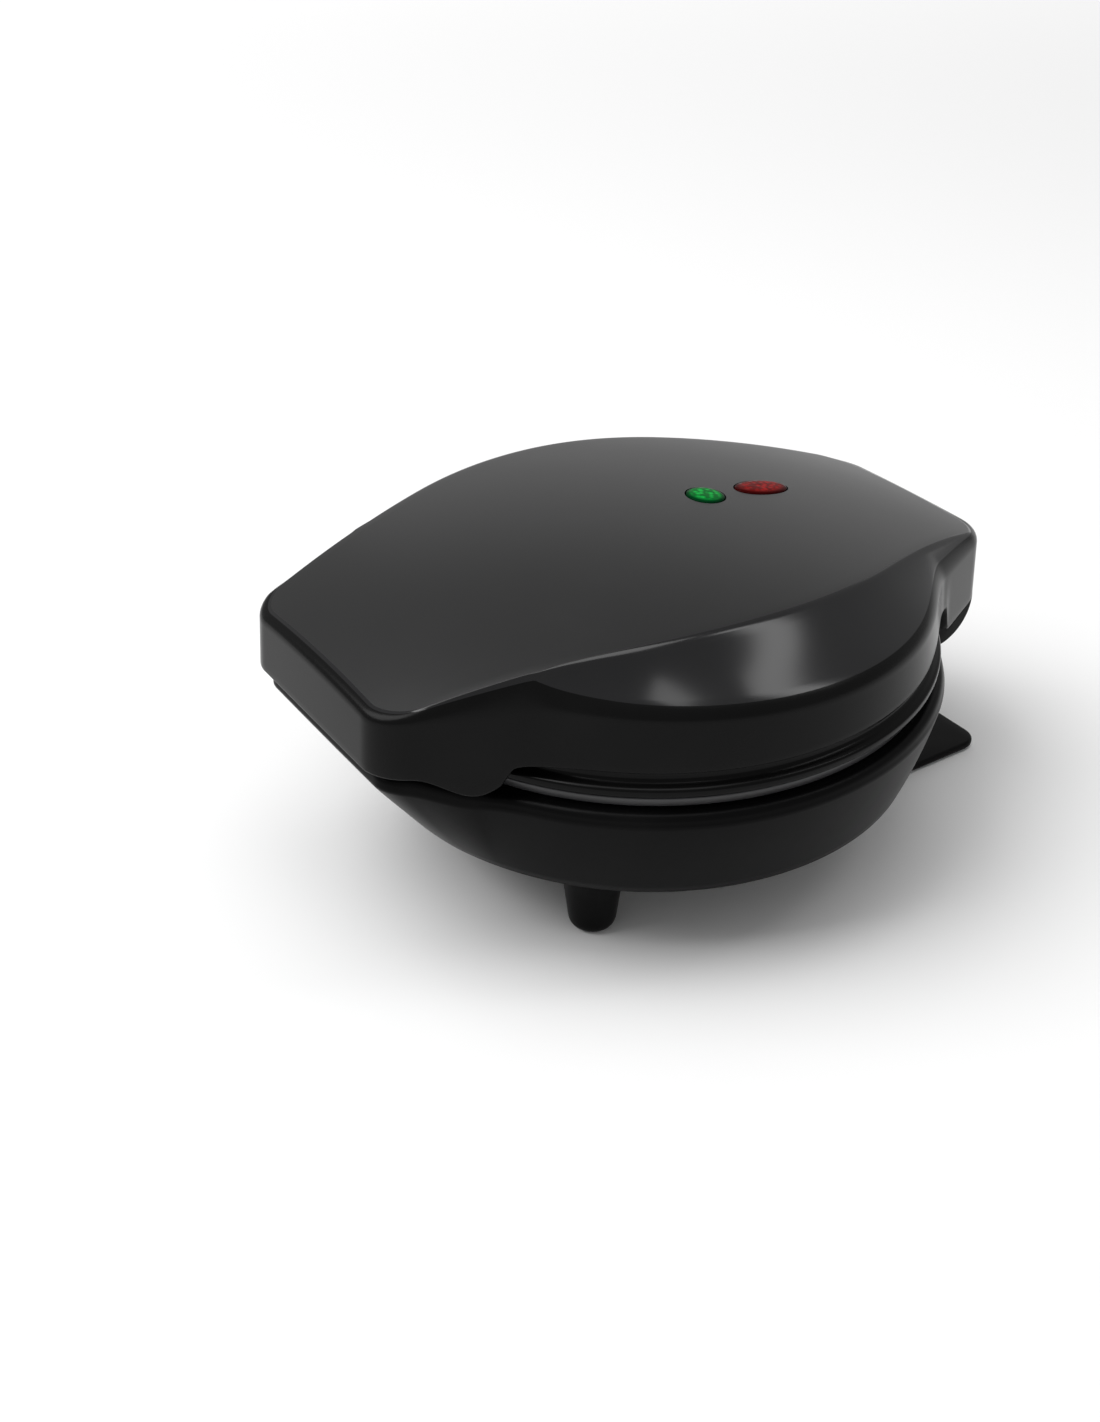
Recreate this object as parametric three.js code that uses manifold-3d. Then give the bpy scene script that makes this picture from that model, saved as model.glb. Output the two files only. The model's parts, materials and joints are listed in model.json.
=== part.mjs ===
// Electric donut maker for seven small rings, lid closed.
// Millimetres, +Z up. The origin is on the table under the middle of the round body, the handle
// points to -Y, the hinge is at +Y, and right is +X for someone who faces the handle.

import * as THREE from 'three';
import { mergeVertices } from 'three/addons/utils/BufferGeometryUtils.js';
import Module from 'manifold-3d';

const wasm = await Module();
wasm.setup();

// ---------------------------------------------------------------- driving dimensions

const gap = 0.3; // between pieces that touch or slide
const wall = 2.5; // plastic shells
const sheet = 0.8; // pressed metal

const ring = {
  middle: 19, // radius of the dough ring's middle line
  section: 10, // radius of its round section
  land: 4, // flat metal between two rings
  wall: 2.5, // cast wall behind a ring
  around: 6, // rings round the middle one
};
const ringReach = ring.middle + ring.section;
const pitch = 2 * ringReach + ring.land;
const backDepth = ring.section + ring.wall;

const plate = { rim: 8.4, thickness: 3, apart: 1, bossRadius: 3.5, bossInset: 15.4 };
const plateRadius = pitch + ringReach + plate.rim;
const bossCircle = plateRadius - plate.bossInset;

const base = {
  rimWidth: 5.6, // from the plate's edge out to the widest line
  draft: 8.8, // how far the wall leans in on its way down
  bow: 0.7,
  underside: 28.6, // height over the table
  wallHeight: 31.4,
  shoulder: 4.1, // rounded shoulder over the widest line
  ledge: 3.9, // ledge that carries the plate
  skin: 2.6, // wall under the ledge
};
const bodyRadius = plateRadius + base.rimWidth;
const footRingRadius = bodyRadius - base.draft;
const widestHeight = base.underside + base.wallHeight;
const deckHeight = widestHeight + base.shoulder;
const lowerFace = deckHeight + gap + plate.thickness; // cooking face of the lower plate
const upperFace = lowerFace + plate.apart;

const lid = {
  wallOutset: 0.7, // lid wall outside the plate's edge
  lipRise: 1, // lip over the upper plate's face
  lipHeight: 7.2,
  lipFlare: 2.2,
  shoulderDrop: 21.9, // arch down to where the slope round the panel meets the wall
  draft: 1.2, // how far the wall leans in on its way up
  archHeight: 46.6, // top of the arch over the lip's lower edge, at the middle
  archTilt: 0.037,
  archBend: 0.001373,
  crown: 0.001,
  creaseWidth: 73.1, // half width of the top panel
  edge: 3, // rounded edge over the wall
  cornerRadius: 11,
  sweep: 10, // how softly the handle and the tail leave the round wall
};
const lidRadius = plateRadius + lid.wallOutset;
const lipBottom = upperFace + lid.lipRise;
const lidWallBottom = lipBottom + lid.lipHeight;
const archTop = lipBottom + lid.archHeight;

const handle = {
  reach: 23.3, // past the round body
  slope: 0.334, // widening towards the body
  narrow: 0.3,
  bend: 0.003,
  skirtHeight: 8.4, // end of the lid's skirt over the lip
  dip: 9.3, // how far the skirt's lobe hangs under that
  flare: 10.7, // rise of the lower grip over the widest line
  halfWidth: 44.3,
  lowerInset: 3.3,
  lowerHalfWidth: 40,
  lowerCorner: 6,
};
const handleEnd = bodyRadius + handle.reach;

const hinge = {
  setback: 5, // axis behind the round body
  tail: 16.3, // lid behind the axis
  earRadius: 16.5,
  earTopRadius: 9.5,
  earInner: 28,
  earOuter: 35,
  lugInner: 20,
  lugOuter: 26.5,
  lugRadius: 6,
  pinRadius: 2.5,
  halfWidth: 38.5,
  slope: 0.485,
  bend: 0.0036,
  straight: 52,
  skirtDrop: 4.4, // tail of the lid under the lip
};
const axisY = bodyRadius + hinge.setback;
const axisZ = widestHeight;
const tailEnd = axisY + hinge.tail;

const foot = { topRadius: 11, tipRadius: 8, angle: 47, inset: 15.4, padRadius: 5, padHeight: 2.6 };
const stand = {
  halfWidth: 48,
  overhang: 23.3, // past the round body
  front: 60,
  corner: 7.5,
  thickness: 3.6,
  neckWidth: 52,
  neckDepth: 20,
  padInset: 12,
};
const pads = 0.8; // how far a rubber pad stands out

const screw = { shank: 1.5, head: 3.4, headHeight: 1.9, bore: 1.6, clearance: 1.9 };
// The tubular heaters run where the backs of the inner and outer rings meet.
const element = { ring: pitch / 2, tube: 3.25, opening: 12, pinHole: 4.4 };
const sleeving = { x: 12, radius: 2.4, hole: 3.4, single: 1.3 }; // sleeved wires through the hinge
const gland = { height: 11.4, setIn: 3, neck: 5, flange: 7, bore: 3.3, length: 12 };
const lens = {
  proud: 0.9,
  flange: 1.5,
  greenY: 25,
  greenRadius: 6.7,
  redY: 49.7,
  redWidth: 6.1,
  redLength: 11,
};
const sensorRadius = 7.5; // thermostat on the upper plate
const sensorCircle = element.ring + 9.5;

// ---------------------------------------------------------------- solids

// A closed geometry as a manifold-3d solid with its faces turned out.
function solid(geometry) {
  const bare = geometry.clone();
  bare.deleteAttribute('normal');
  bare.deleteAttribute('uv');
  const shell = mergeVertices(bare, 1e-4);
  const corners = [];
  for (let i = 0; i < shell.index.count; i += 3) {
    const [a, b, c] = [0, 1, 2].map((k) => shell.index.getX(i + k));
    if (a !== b && b !== c && c !== a) corners.push(a, b, c);
  }
  const make = (list) =>
    new wasm.Manifold(
      new wasm.Mesh({
        numProp: 3,
        vertProperties: new Float32Array(shell.attributes.position.array),
        triVerts: new Uint32Array(list),
      }),
    );
  const made = make(corners);
  return made.volume() < 0 ? make(corners.reverse()) : made;
}

function geometryOf(shape) {
  const { vertProperties, triVerts } = shape.getMesh();
  const geometry = new THREE.BufferGeometry();
  geometry.setAttribute('position', new THREE.BufferAttribute(new Float32Array(vertProperties), 3));
  geometry.setIndex(new THREE.BufferAttribute(new Uint32Array(triVerts), 1));
  geometry.computeVertexNormals();
  return geometry;
}

const join = (first, ...rest) => rest.reduce((whole, piece) => whole.add(piece), first);
const cut = (first, ...tools) => tools.reduce((whole, tool) => whole.subtract(tool), first);

function block(x0, x1, y0, y1, z0, z1) {
  const box = new THREE.BoxGeometry(x1 - x0, y1 - y0, z1 - z0);
  return solid(box.translate((x0 + x1) / 2, (y0 + y1) / 2, (z0 + z1) / 2));
}

// A round bar, upright or laid along X or Y.
function bar(radius, low, high, [u, v] = [0, 0], along = 'z', sides = 16) {
  const middle = (low + high) / 2;
  const round = new THREE.CylinderGeometry(radius, radius, high - low, sides);
  if (along === 'x') return solid(round.rotateZ(Math.PI / 2).translate(middle, u, v));
  if (along === 'y') return solid(round.translate(u, middle, v));
  return solid(round.rotateX(Math.PI / 2).translate(u, v, middle));
}

// A turned piece about the Z axis, from a list of [radius, height].
function turned(profile, sides) {
  const points = profile.map(([r, z]) => new THREE.Vector2(r, z));
  return solid(new THREE.LatheGeometry(points, sides).rotateX(Math.PI / 2));
}

// A piece whose [radius, height] profile changes from one direction to the next.
function shaped(profileAt, steps) {
  const positions = [];
  const index = [];
  const rows = profileAt(0).length;
  for (let i = 0; i < steps; i++) {
    const turn = (2 * Math.PI * i) / steps;
    const angle = turn + 0.16 * Math.sin(2 * turn); // closer together round the handle and the tail
    for (const [r, z] of profileAt(angle)) positions.push(r * Math.cos(angle), r * Math.sin(angle), z);
  }
  for (let i = 0; i < steps; i++) {
    const next = (i + 1) % steps;
    for (let j = 0; j + 1 < rows; j++) {
      const [a, b] = [i * rows + j, next * rows + j];
      index.push(a, b, b + 1, a, b + 1, a + 1);
    }
  }
  const geometry = new THREE.BufferGeometry();
  geometry.setAttribute('position', new THREE.Float32BufferAttribute(positions, 3));
  geometry.setIndex(index);
  return solid(geometry);
}

// A flat outline in (Y, Z) given thickness along X.
function sidePlate(outline, x0, x1) {
  const options = { depth: x1 - x0, bevelEnabled: false, curveSegments: 7 };
  const plateGeometry = new THREE.ExtrudeGeometry(outline, options);
  const turn = new THREE.Matrix4().makeBasis(
    new THREE.Vector3(0, 1, 0),
    new THREE.Vector3(0, 0, 1),
    new THREE.Vector3(1, 0, 0),
  );
  return solid(plateGeometry.applyMatrix4(turn).translate(x0, 0, 0));
}

// A round wire or tube along a smooth line through the given points.
function tube(points, radius, steps, sides = 8) {
  const section = new THREE.Shape().absarc(0, 0, radius, 0, 2 * Math.PI);
  const line = new THREE.CatmullRomCurve3(points.map((p) => new THREE.Vector3(...p)));
  const options = { steps, extrudePath: line, curveSegments: sides / 2, bevelEnabled: false };
  return solid(new THREE.ExtrudeGeometry(section, options));
}

// ---------------------------------------------------------------- plan outlines

const smoothMax = (a, b, reach) => {
  const near = Math.max(reach - Math.abs(a - b), 0) / reach;
  return Math.max(a, b) + (near * near * reach) / 4;
};
const smoothStep = (t) => THREE.MathUtils.smoothstep(t, 0, 1);

// Half width of the round body at a distance along Y.
const roundHalf = (radius, y) => Math.sqrt(Math.max(radius * radius - y * y, 0));

// What a rounded corner takes off the half width near an end.
function cornerLoss(fromEnd, radius) {
  const into = Math.max(radius - fromEnd, 0);
  return radius - Math.sqrt(Math.max(radius * radius - into * into, 0));
}

// Half width of the lid's top panel, a parabola that runs on straight to each end.
function panelHalf(y) {
  const front = [handle.bend, handle.narrow / (2 * handle.bend)];
  const [bend, straight] = y < 0 ? front : [hinge.bend, hinge.straight];
  const curved = Math.min(Math.abs(y), straight);
  const inset = lid.edge + lid.draft;
  const fromEnd = y < 0 ? handleEnd - inset + y : tailEnd - inset - y;
  if (fromEnd < 0) return 0;
  const corner = lid.cornerRadius - inset;
  return lid.creaseWidth - bend * curved * (2 * Math.abs(y) - curved) - cornerLoss(fromEnd, corner);
}

// Half width of the lid's wall: the round body with a handle and a tail swept out of it.
function lidHalf(y) {
  const fromEnd = y < 0 ? handleEnd + y : tailEnd - y;
  if (fromEnd < 0) return 0;
  const [half, slope] = y < 0 ? [handle.halfWidth, handle.slope] : [hinge.halfWidth, hinge.slope];
  const straight = half + slope * fromEnd - cornerLoss(fromEnd, lid.cornerRadius);
  const sweep = lid.sweep * smoothStep(Math.abs(y) / (lidRadius / 2));
  return smoothMax(roundHalf(lidRadius, y), straight, Math.max(sweep, gap));
}

// Half width of the base at its widest line, with the lower grip swept out of it.
function baseHalf(y) {
  const fromEnd = handleEnd - handle.lowerInset + y;
  if (fromEnd < 0) return 0;
  const straight = handle.lowerHalfWidth + handle.slope * fromEnd - cornerLoss(fromEnd, handle.lowerCorner);
  return y < 0 ? smoothMax(roundHalf(bodyRadius, y), straight, lid.sweep) : roundHalf(bodyRadius, y);
}

// Distance from the middle to an outline in one direction.
function reachOf(half, angle) {
  let [inside, outside] = [0, 2 * handleEnd];
  for (let i = 0; i < 40; i++) {
    const r = (inside + outside) / 2;
    if (r * Math.abs(Math.cos(angle)) < half(r * Math.sin(angle))) inside = r;
    else outside = r;
  }
  return inside;
}

// ---------------------------------------------------------------- lid shell

const archAt = (y) => archTop - lid.archTilt * y - lid.archBend * y * y;
const panelAt = (x, y) => archAt(y) - lid.crown * x * x;

// Lower edge of the lid's wall: over the lip on the round, a hanging lobe beside it, then the grip.
function skirtBottom(r, y) {
  const out = smoothStep((r - lidRadius - 5.5) / 3.5);
  const lobe = bodyRadius - 5;
  const along = Math.abs(y + lobe) / 20;
  const grip = lipBottom + handle.skirtHeight - handle.dip * (1 - smoothStep(along));
  const level = y < 0 ? grip : lipBottom - hinge.skirtDrop;
  return lidWallBottom + (level - lidWallBottom) * out;
}

function lidProfile(angle, inset) {
  const r = reachOf(lidHalf, angle);
  const wallTop = r - lid.draft;
  const crease = Math.min(reachOf(panelHalf, angle), wallTop - lid.edge - 0.8);
  const [cx, cy] = [crease * Math.cos(angle), crease * Math.sin(angle)];
  const creaseZ = panelAt(cx, cy);
  const y = r * Math.sin(angle);
  const shoulder = Math.min(archTop - lid.shoulderDrop - lid.archTilt * y, creaseZ - 1);
  const top = shoulder - lid.edge;
  const panel = [0, 0.12, 0.45, 0.78, 1].map((k) => [k * crease, panelAt(k * cx, k * cy) - inset]);
  if (inset) {
    const inner = [wallTop - inset, Math.min(top, creaseZ - inset - 1)];
    return [...panel, inner, [r - inset, lidWallBottom], [r - inset, base.underside], [0, base.underside]];
  }
  const slope = (creaseZ - shoulder) / (wallTop - crease);
  const edge = [
    [wallTop - lid.edge, shoulder + lid.edge * slope],
    [wallTop - lid.edge / 4, shoulder + (lid.edge * (slope - 1)) / 4],
    [wallTop, top],
  ];
  return [...panel, ...edge, [r, skirtBottom(r, y)], [0, lipBottom]];
}

// Where a lens sits on the top panel, leaning with it.
function lensSeat(y) {
  const lean = Math.atan(-lid.archTilt - 2 * lid.archBend * y);
  const place = new THREE.Matrix4().makeTranslation(0, y, archAt(y));
  return place.multiply(new THREE.Matrix4().makeRotationX(lean));
}

// A turned lens or the hole for it, stretched to an oval where the lens is one.
function lensSolid(profile, y, halfWidth, halfLength) {
  const points = profile.map(([r, z]) => new THREE.Vector2(r, z));
  const geometry = new THREE.LatheGeometry(points, 20).rotateX(Math.PI / 2);
  return solid(geometry.scale(halfWidth, halfLength, 1).applyMatrix4(lensSeat(y)));
}

const lensHole = [[0, -12], [1, -12], [1, 12], [0, 12]];
const rimScrewAngles = [90, 210, 330];
const plateScrewAngles = [30, 150, 270];
const polar = (radius, degrees) => {
  const angle = THREE.MathUtils.degToRad(degrees);
  return [radius * Math.cos(angle), radius * Math.sin(angle)];
};
const rimBossCircle = bossCircle + 2;
const rimInner = plateRadius - 3;
const rimTop = upperFace + plate.thickness + gap + 2;
const lampDrop = 18; // lamp holder under the panel
const lampY = lens.greenY - lens.greenRadius - lens.flange - 4.8; // screw of the lamp holder
const holderTop = archAt(lens.redY) - lampDrop;

const lidSteps = 56; // directions that the lid and the base are drawn in

function lidCover() {
  const outer = shaped((angle) => lidProfile(angle, 0), lidSteps);
  const hollow = shaped((angle) => lidProfile(angle, wall), lidSteps);
  const bosses = rimScrewAngles.map((degrees) => {
    const at = polar(rimBossCircle, degrees);
    return cut(bar(4, rimTop + gap, archTop, at), bar(screw.bore, rimTop, rimTop + 14, at, 'z', 8));
  });
  const lampBoss = cut(
    bar(3.5, holderTop + gap, archTop, [0, lampY]),
    bar(screw.bore, holderTop, holderTop + 9, [0, lampY], 'z', 12),
  );
  const lugs = [-1, 1].map((side) => {
    const [x0, x1] = side > 0 ? [hinge.lugInner, hinge.lugOuter] : [-hinge.lugOuter, -hinge.lugInner];
    const web = block(x0, x1, axisY - hinge.lugRadius, axisY + hinge.lugRadius, axisZ, archTop);
    return join(bar(hinge.lugRadius, x0, x1, [axisY, axisZ], 'x', 24), web);
  });
  const within = shaped((angle) => lidProfile(angle, 1), lidSteps);
  const fittings = join(...bosses, lampBoss, ...lugs).intersect(within);
  const relief = [-1, 1].map((side) => {
    const [x0, x1] = side > 0 ? [hinge.earInner, hinge.earOuter] : [-hinge.earOuter, -hinge.earInner];
    return bar(hinge.earRadius + 0.7, x0 - 0.7, x1 + 0.7, [axisY, axisZ], 'x', 40);
  });
  const pinHoles = bar(hinge.pinRadius + gap, -60, 60, [axisY, axisZ], 'x', 24);
  const green = lensSolid(lensHole, lens.greenY, lens.greenRadius + gap, lens.greenRadius + gap);
  const red = lensSolid(lensHole, lens.redY, lens.redWidth + gap, lens.redLength + gap);
  return cut(join(cut(outer, hollow, ...relief), fittings), pinHoles, green, red);
}

// Stepped ring round the upper plate: groove, flared lip, and the ledge that holds the plate.
function lidRim() {
  const inner = rimInner;
  const ledge = inner - 2.2;
  const under = upperFace + plate.thickness + gap;
  const top = lidWallBottom - gap;
  const lip = lidRadius + lid.lipFlare;
  const hoop = turned(
    [
      [inner, lipBottom], [lip - 0.5, lipBottom], [lip, lipBottom + 0.6], [lip, lipBottom + 2.2],
      [lidRadius - 0.6, lipBottom + 3.6], [lidRadius - 1.6, lipBottom + 5], [lidRadius - 1.6, top],
      [inner, top], [inner, rimTop], [ledge, rimTop], [ledge, under], [inner, under], [inner, lipBottom],
    ],
    42,
  );
  const tabs = rimScrewAngles.map((degrees) => {
    const neck = block(rimBossCircle, ledge + 2, -6, 6, under, rimTop);
    const tab = join(neck, bar(6, under, rimTop, [rimBossCircle, 0]));
    return tab.rotate([0, 0, degrees]);
  });
  const holes = rimScrewAngles.map((degrees) => {
    return bar(screw.shank + 0.3, 0, archTop, polar(rimBossCircle, degrees), 'z', 8);
  });
  const sinks = rimScrewAngles.map((degrees) => {
    const [x, y] = polar(rimBossCircle, degrees);
    const sink = [[0, under - 1], [screw.head, under - 1], [screw.head, under + 0.2]];
    sink.push([1.8, under + 1.5], [0, under + 1.5]);
    return turned(sink, 12).translate([x, y, 0]);
  });
  return cut(join(hoop, ...tabs), ...holes, ...sinks);
}

// ---------------------------------------------------------------- cooking plates and heat

// Half rings under a flange, cooking face at z = 0 and backs to -Z.
function ringShapes(radius) {
  const points = [];
  for (let k = 0; k <= 8; k++) {
    const a = (2 * Math.PI * k) / 8;
    points.push([ring.middle + radius * Math.cos(a), radius * Math.sin(a)]);
  }
  points[8] = points[0];
  const one = turned(points, 12);
  const places = [[0, 0]];
  for (let k = 0; k < ring.around; k++) places.push(polar(pitch, (360 * k) / ring.around));
  return places.map(([x, y]) => one.translate([x, y, 0]));
}

function cookingPlate(radius, shieldGap, bossAngle) {
  const below = block(-200, 200, -200, 200, -50, 0);
  const flange = turned([[0, -plate.thickness], [radius, -plate.thickness], [radius, 0], [0, 0]], 40);
  const backs = join(...ringShapes(backDepth)).intersect(below);
  const cavities = join(...ringShapes(ring.section));
  const bosses = plateScrewAngles.map((degrees) => {
    const at = polar(bossCircle, degrees);
    const post = bar(plate.bossRadius, -backDepth - shieldGap, -1, at, 'z', 8);
    return cut(post, bar(screw.bore, -40, -4, at, 'z', 8));
  });
  const sensorBoss = bar(4, -backDepth - 2, -1, polar(sensorCircle, bossAngle));
  return cut(join(flange, backs, ...bosses, sensorBoss), cavities);
}

const upsideDown = (shape) => shape.mirror([0, 0, 1]);
const shieldGap = 2.9; // behind the deepest point of the plate
const lowerShield = lowerFace - backDepth - shieldGap;
const upperShield = upperFace + backDepth + shieldGap + gap;
const elementDepth = Math.sqrt((backDepth + element.tube + 0.6) ** 2 - (element.ring - ring.middle) ** 2);

// Tubular heater: an open circle with both ends turned away from the plate.
function heater(height, away, facing, pinLength) {
  const points = [];
  const [from, to] = [facing + element.opening, facing + 360 - element.opening];
  const steps = 30;
  for (let k = 0; k <= steps; k++) {
    points.push([...polar(element.ring, from + ((to - from) * k) / steps), height]);
  }
  const [first, last] = [points[0], points[steps]];
  points.unshift([...first.slice(0, 2), height + away * 3]);
  points.unshift([...first.slice(0, 2), height + away * pinLength]);
  points.push([...last.slice(0, 2), height + away * 3]);
  points.push([...last.slice(0, 2), height + away * pinLength]);
  return tube(points, element.tube, 38, 8);
}

function heaterHoles(facing, low, high) {
  return [-1, 1].map((side) => {
    return bar(element.pinHole, low, high, polar(element.ring, facing + side * element.opening), 'z', 16);
  });
}

function lowerHeatShield() {
  const floor = lowerShield;
  const edge = deckHeight - 2.6 - gap;
  const rim = plateRadius - 1.9;
  const dish = turned(
    [
      [0, floor - sheet], [bossCircle + 5, floor - sheet], [rim - 3.4, edge - sheet], [rim, edge - sheet],
      [rim, edge], [rim - 4, edge], [bossCircle + 4.6, floor], [0, floor],
    ],
    36,
  );
  const screws = plateScrewAngles.map((d) => bar(screw.clearance, 0, 90, polar(bossCircle, d), 'z', 8));
  return cut(dish, ...screws, ...heaterHoles(90, 0, 90));
}

function upperHeatShield() {
  const floor = upperShield;
  const foot = rimTop + gap;
  const rim = rimInner - 0.5;
  const dish = turned(
    [
      [0, floor], [rim - 7, floor], [rim - 2.6, foot], [rim, foot], [rim, foot + sheet],
      [rim - 2, foot + sheet], [rim - 6.4, floor + sheet], [0, floor + sheet],
    ],
    36,
  );
  const screws = plateScrewAngles.map((d) => bar(screw.clearance, 0, 150, polar(bossCircle, d), 'z', 8));
  const bosses = rimScrewAngles.map((d) => bar(5, foot + 2, 150, polar(rimBossCircle, d)));
  const sensor = bar(sensorRadius + 1.5, 0, 150, polar(sensorCircle, 270));
  return cut(dish, ...screws, ...bosses, ...heaterHoles(180, 0, 150), sensor);
}

// ---------------------------------------------------------------- base

function baseProfile(angle) {
  const r = reachOf(baseHalf, angle);
  const y = r * Math.sin(angle);
  const start = bodyRadius - 11;
  const rise = handle.flare * smoothStep((-y - start) / (handleEnd - handle.lowerInset - start));
  const edge = widestHeight + rise;
  const deck = deckHeight + rise;
  const bottom = base.underside;
  const out = (k) => footRingRadius + (r - footRingRadius) * k + 4 * base.bow * k * (1 - k);
  const lean = (k) => [out(k), bottom + (edge - bottom) * k];
  const inner = (k) => [lean(k)[0] - base.skin, lean(k)[1]];
  const ledge = plateRadius - base.ledge;
  return [
    [footRingRadius, bottom], lean(0.33), lean(0.67), [r, edge], [r - 0.5, edge + 2], [r - 1.6, edge + 3.4],
    [r - 3.4, deck], [Math.min(r - 3.8, bodyRadius - 0.5), deckHeight], [ledge, deckHeight],
    [ledge, deckHeight - base.skin], [Math.min(r - 5, bodyRadius - 1.8), deckHeight - base.skin],
    [r - 3.2, edge + 1], inner(0.95), inner(0.5), [footRingRadius - base.skin, bottom],
    [footRingRadius, bottom],
  ];
}

const coverRadius = footRingRadius - base.skin - gap - 0.1;
const coverTop = base.underside + wall;
const coverScrewCircle = coverRadius - 7.2;
const coverScrewAngles = [20, 160, 200, 340];
const postTop = lowerShield - sheet - 5; // screw posts of the bottom cover end under the shield
const glandZ = base.underside + gland.height;
const glandY = bodyRadius - gland.setIn; // flat seat of the cord gland
const sleeveX = sleeving.x;
const sleeveZ = axisZ - 3.5;

function ear(side) {
  const [small, large] = [hinge.earTopRadius, hinge.earRadius];
  const shoulder = 2;
  const front = axisY - large + 0.5;
  const outline = new THREE.Shape();
  outline.moveTo(front, axisZ + shoulder);
  outline.lineTo(axisY - Math.sqrt(small ** 2 - shoulder ** 2), axisZ + shoulder);
  const turn = Math.asin(shoulder / small);
  outline.absarc(axisY, axisZ, small, Math.PI - turn, turn, true);
  outline.lineTo(axisY + Math.sqrt(large ** 2 - shoulder ** 2), axisZ + shoulder);
  outline.absarc(axisY, axisZ, large, Math.asin(shoulder / large), -Math.PI / 2, true);
  outline.lineTo(front, axisZ - large);
  outline.closePath();
  const [x0, x1] = side > 0 ? [hinge.earInner, hinge.earOuter] : [-hinge.earOuter, -hinge.earInner];
  return sidePlate(outline, x0, x1);
}

function baseHousing() {
  const shell = shaped(baseProfile, lidSteps);
  const bosses = coverScrewAngles.map((degrees) => {
    const post = bar(4.5, coverTop + gap, postTop, [coverScrewCircle, 0], 'z', 16);
    const rib = block(coverScrewCircle, footRingRadius - 0.2, -1.5, 1.5, coverTop + gap, postTop - 3);
    const bore = bar(screw.bore, 0, postTop - 3, [coverScrewCircle, 0], 'z', 12);
    return cut(join(post, rib), bore).rotate([0, 0, degrees]);
  });
  const seat = block(-9, 9, bodyRadius - 10, glandY, glandZ - 8, glandZ + 8);
  const pins = bar(hinge.pinRadius + gap, -60, 60, [axisY, axisZ], 'x', 24);
  const glandHole = bar(gland.neck + gap, bodyRadius - 20, bodyRadius + 5, [0, glandZ], 'y');
  const sleeveHole = bar(sleeving.hole, bodyRadius - 12, bodyRadius + 5, [sleeveX, sleeveZ], 'y', 16);
  const flangeRoom = bar(gland.flange + gap, glandY, bodyRadius + 5, [0, glandZ], 'y');
  return cut(join(shell, ear(-1), ear(1), ...bosses, seat), pins, glandHole, flangeRoom, sleeveHole);
}

const footPlace = (side) => {
  const [x, y] = polar(coverRadius - foot.inset, -foot.angle);
  return [side * x, y];
};
const neckY = coverRadius - 13.2;
const standScrewX = 16;

function bottomCover() {
  const low = base.underside + 0.2;
  const disc = turned([[0, low], [coverRadius, low], [coverRadius, coverTop], [0, coverTop]], 36);
  const holes = coverScrewAngles.map((d) => bar(screw.clearance, 0, 60, polar(coverScrewCircle, d), 'z', 8));
  const others = [footPlace(-1), footPlace(1), [-standScrewX, neckY], [standScrewX, neckY]];
  const vents = [];
  for (let k = -2; k <= 2; k++) vents.push(block(k * 9 - 1.5, k * 9 + 1.5, -22, 12, 0, 60));
  return cut(disc, ...holes, ...others.map((at) => bar(screw.clearance, 0, 60, at, 'z', 8)), ...vents);
}

function frontFoot(side) {
  const [x, y] = footPlace(side);
  const top = base.underside - 0.1;
  const cone = turned(
    [[0, pads], [foot.tipRadius - 2, pads], [foot.tipRadius, pads + 2.2], [foot.topRadius, top], [0, top]],
    24,
  );
  const socket = bar(foot.padRadius + gap, 0, foot.padHeight + gap);
  const bore = bar(screw.bore, top - 13, top + 5, [0, 0], 'z', 12);
  return cut(cone, socket, bore).translate([x, y, 0]);
}

const standPadX = stand.halfWidth - stand.padInset;
const standRear = bodyRadius + stand.overhang;

function rearStand() {
  const outline = new THREE.Shape();
  const [w, y0, y1, corner] = [stand.halfWidth, stand.front, standRear, stand.corner];
  outline.absarc(w - corner, y0 + corner, corner, -Math.PI / 2, 0);
  outline.absarc(w - corner, y1 - corner, corner, 0, Math.PI / 2);
  outline.absarc(-w + corner, y1 - corner, corner, Math.PI / 2, Math.PI);
  outline.absarc(-w + corner, y0 + corner, corner, Math.PI, 1.5 * Math.PI);
  const options = { depth: stand.thickness - pads, bevelEnabled: false, curveSegments: 6 };
  const table = solid(new THREE.ExtrudeGeometry(outline, options).translate(0, 0, pads));
  const [nx, ny, top] = [stand.neckWidth / 2, stand.neckDepth / 2, base.underside - 0.1];
  const neck = block(-nx, nx, neckY - ny, neckY + ny, pads, top);
  const hollow = block(-nx + 3, nx - 3, neckY - ny + 3, neckY + ny - 3, -1, top - 9);
  const screws = [-1, 1].map((side) => {
    return bar(screw.bore, top - 8, top + 5, [side * standScrewX, neckY], 'z', 12);
  });
  const padSeats = [-1, 1].map((side) => {
    return bar(foot.padRadius + gap, 0, 2, [side * standPadX, standRear - stand.padInset]);
  });
  return cut(join(table, neck), hollow, ...screws, ...padSeats);
}

function cordGland() {
  const outer = glandY + gap;
  const { neck, flange, bore, length } = gland;
  const points = [
    [bore, -length], [flange, -length], [flange, 1.6 - length], [neck, 1.6 - length], [neck, 0], [flange, 0],
    [flange, 2], [bore, 2], [bore, -length],
  ];
  const bush = turned(points, 20).rotate([-90, 0, 0]);
  return bush.translate([0, outer, glandZ]);
}

const blockY = neckY - 16;

function terminalBlock() {
  const body = block(-17, 17, blockY - 8, blockY + 8, coverTop + gap, coverTop + gap + 12);
  const bores = [-10, 0, 10].map((x) => bar(2.2, 50, 90, [x, coverTop + 6], 'y', 12));
  return cut(body, ...bores);
}

// ---------------------------------------------------------------- small pieces

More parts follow.
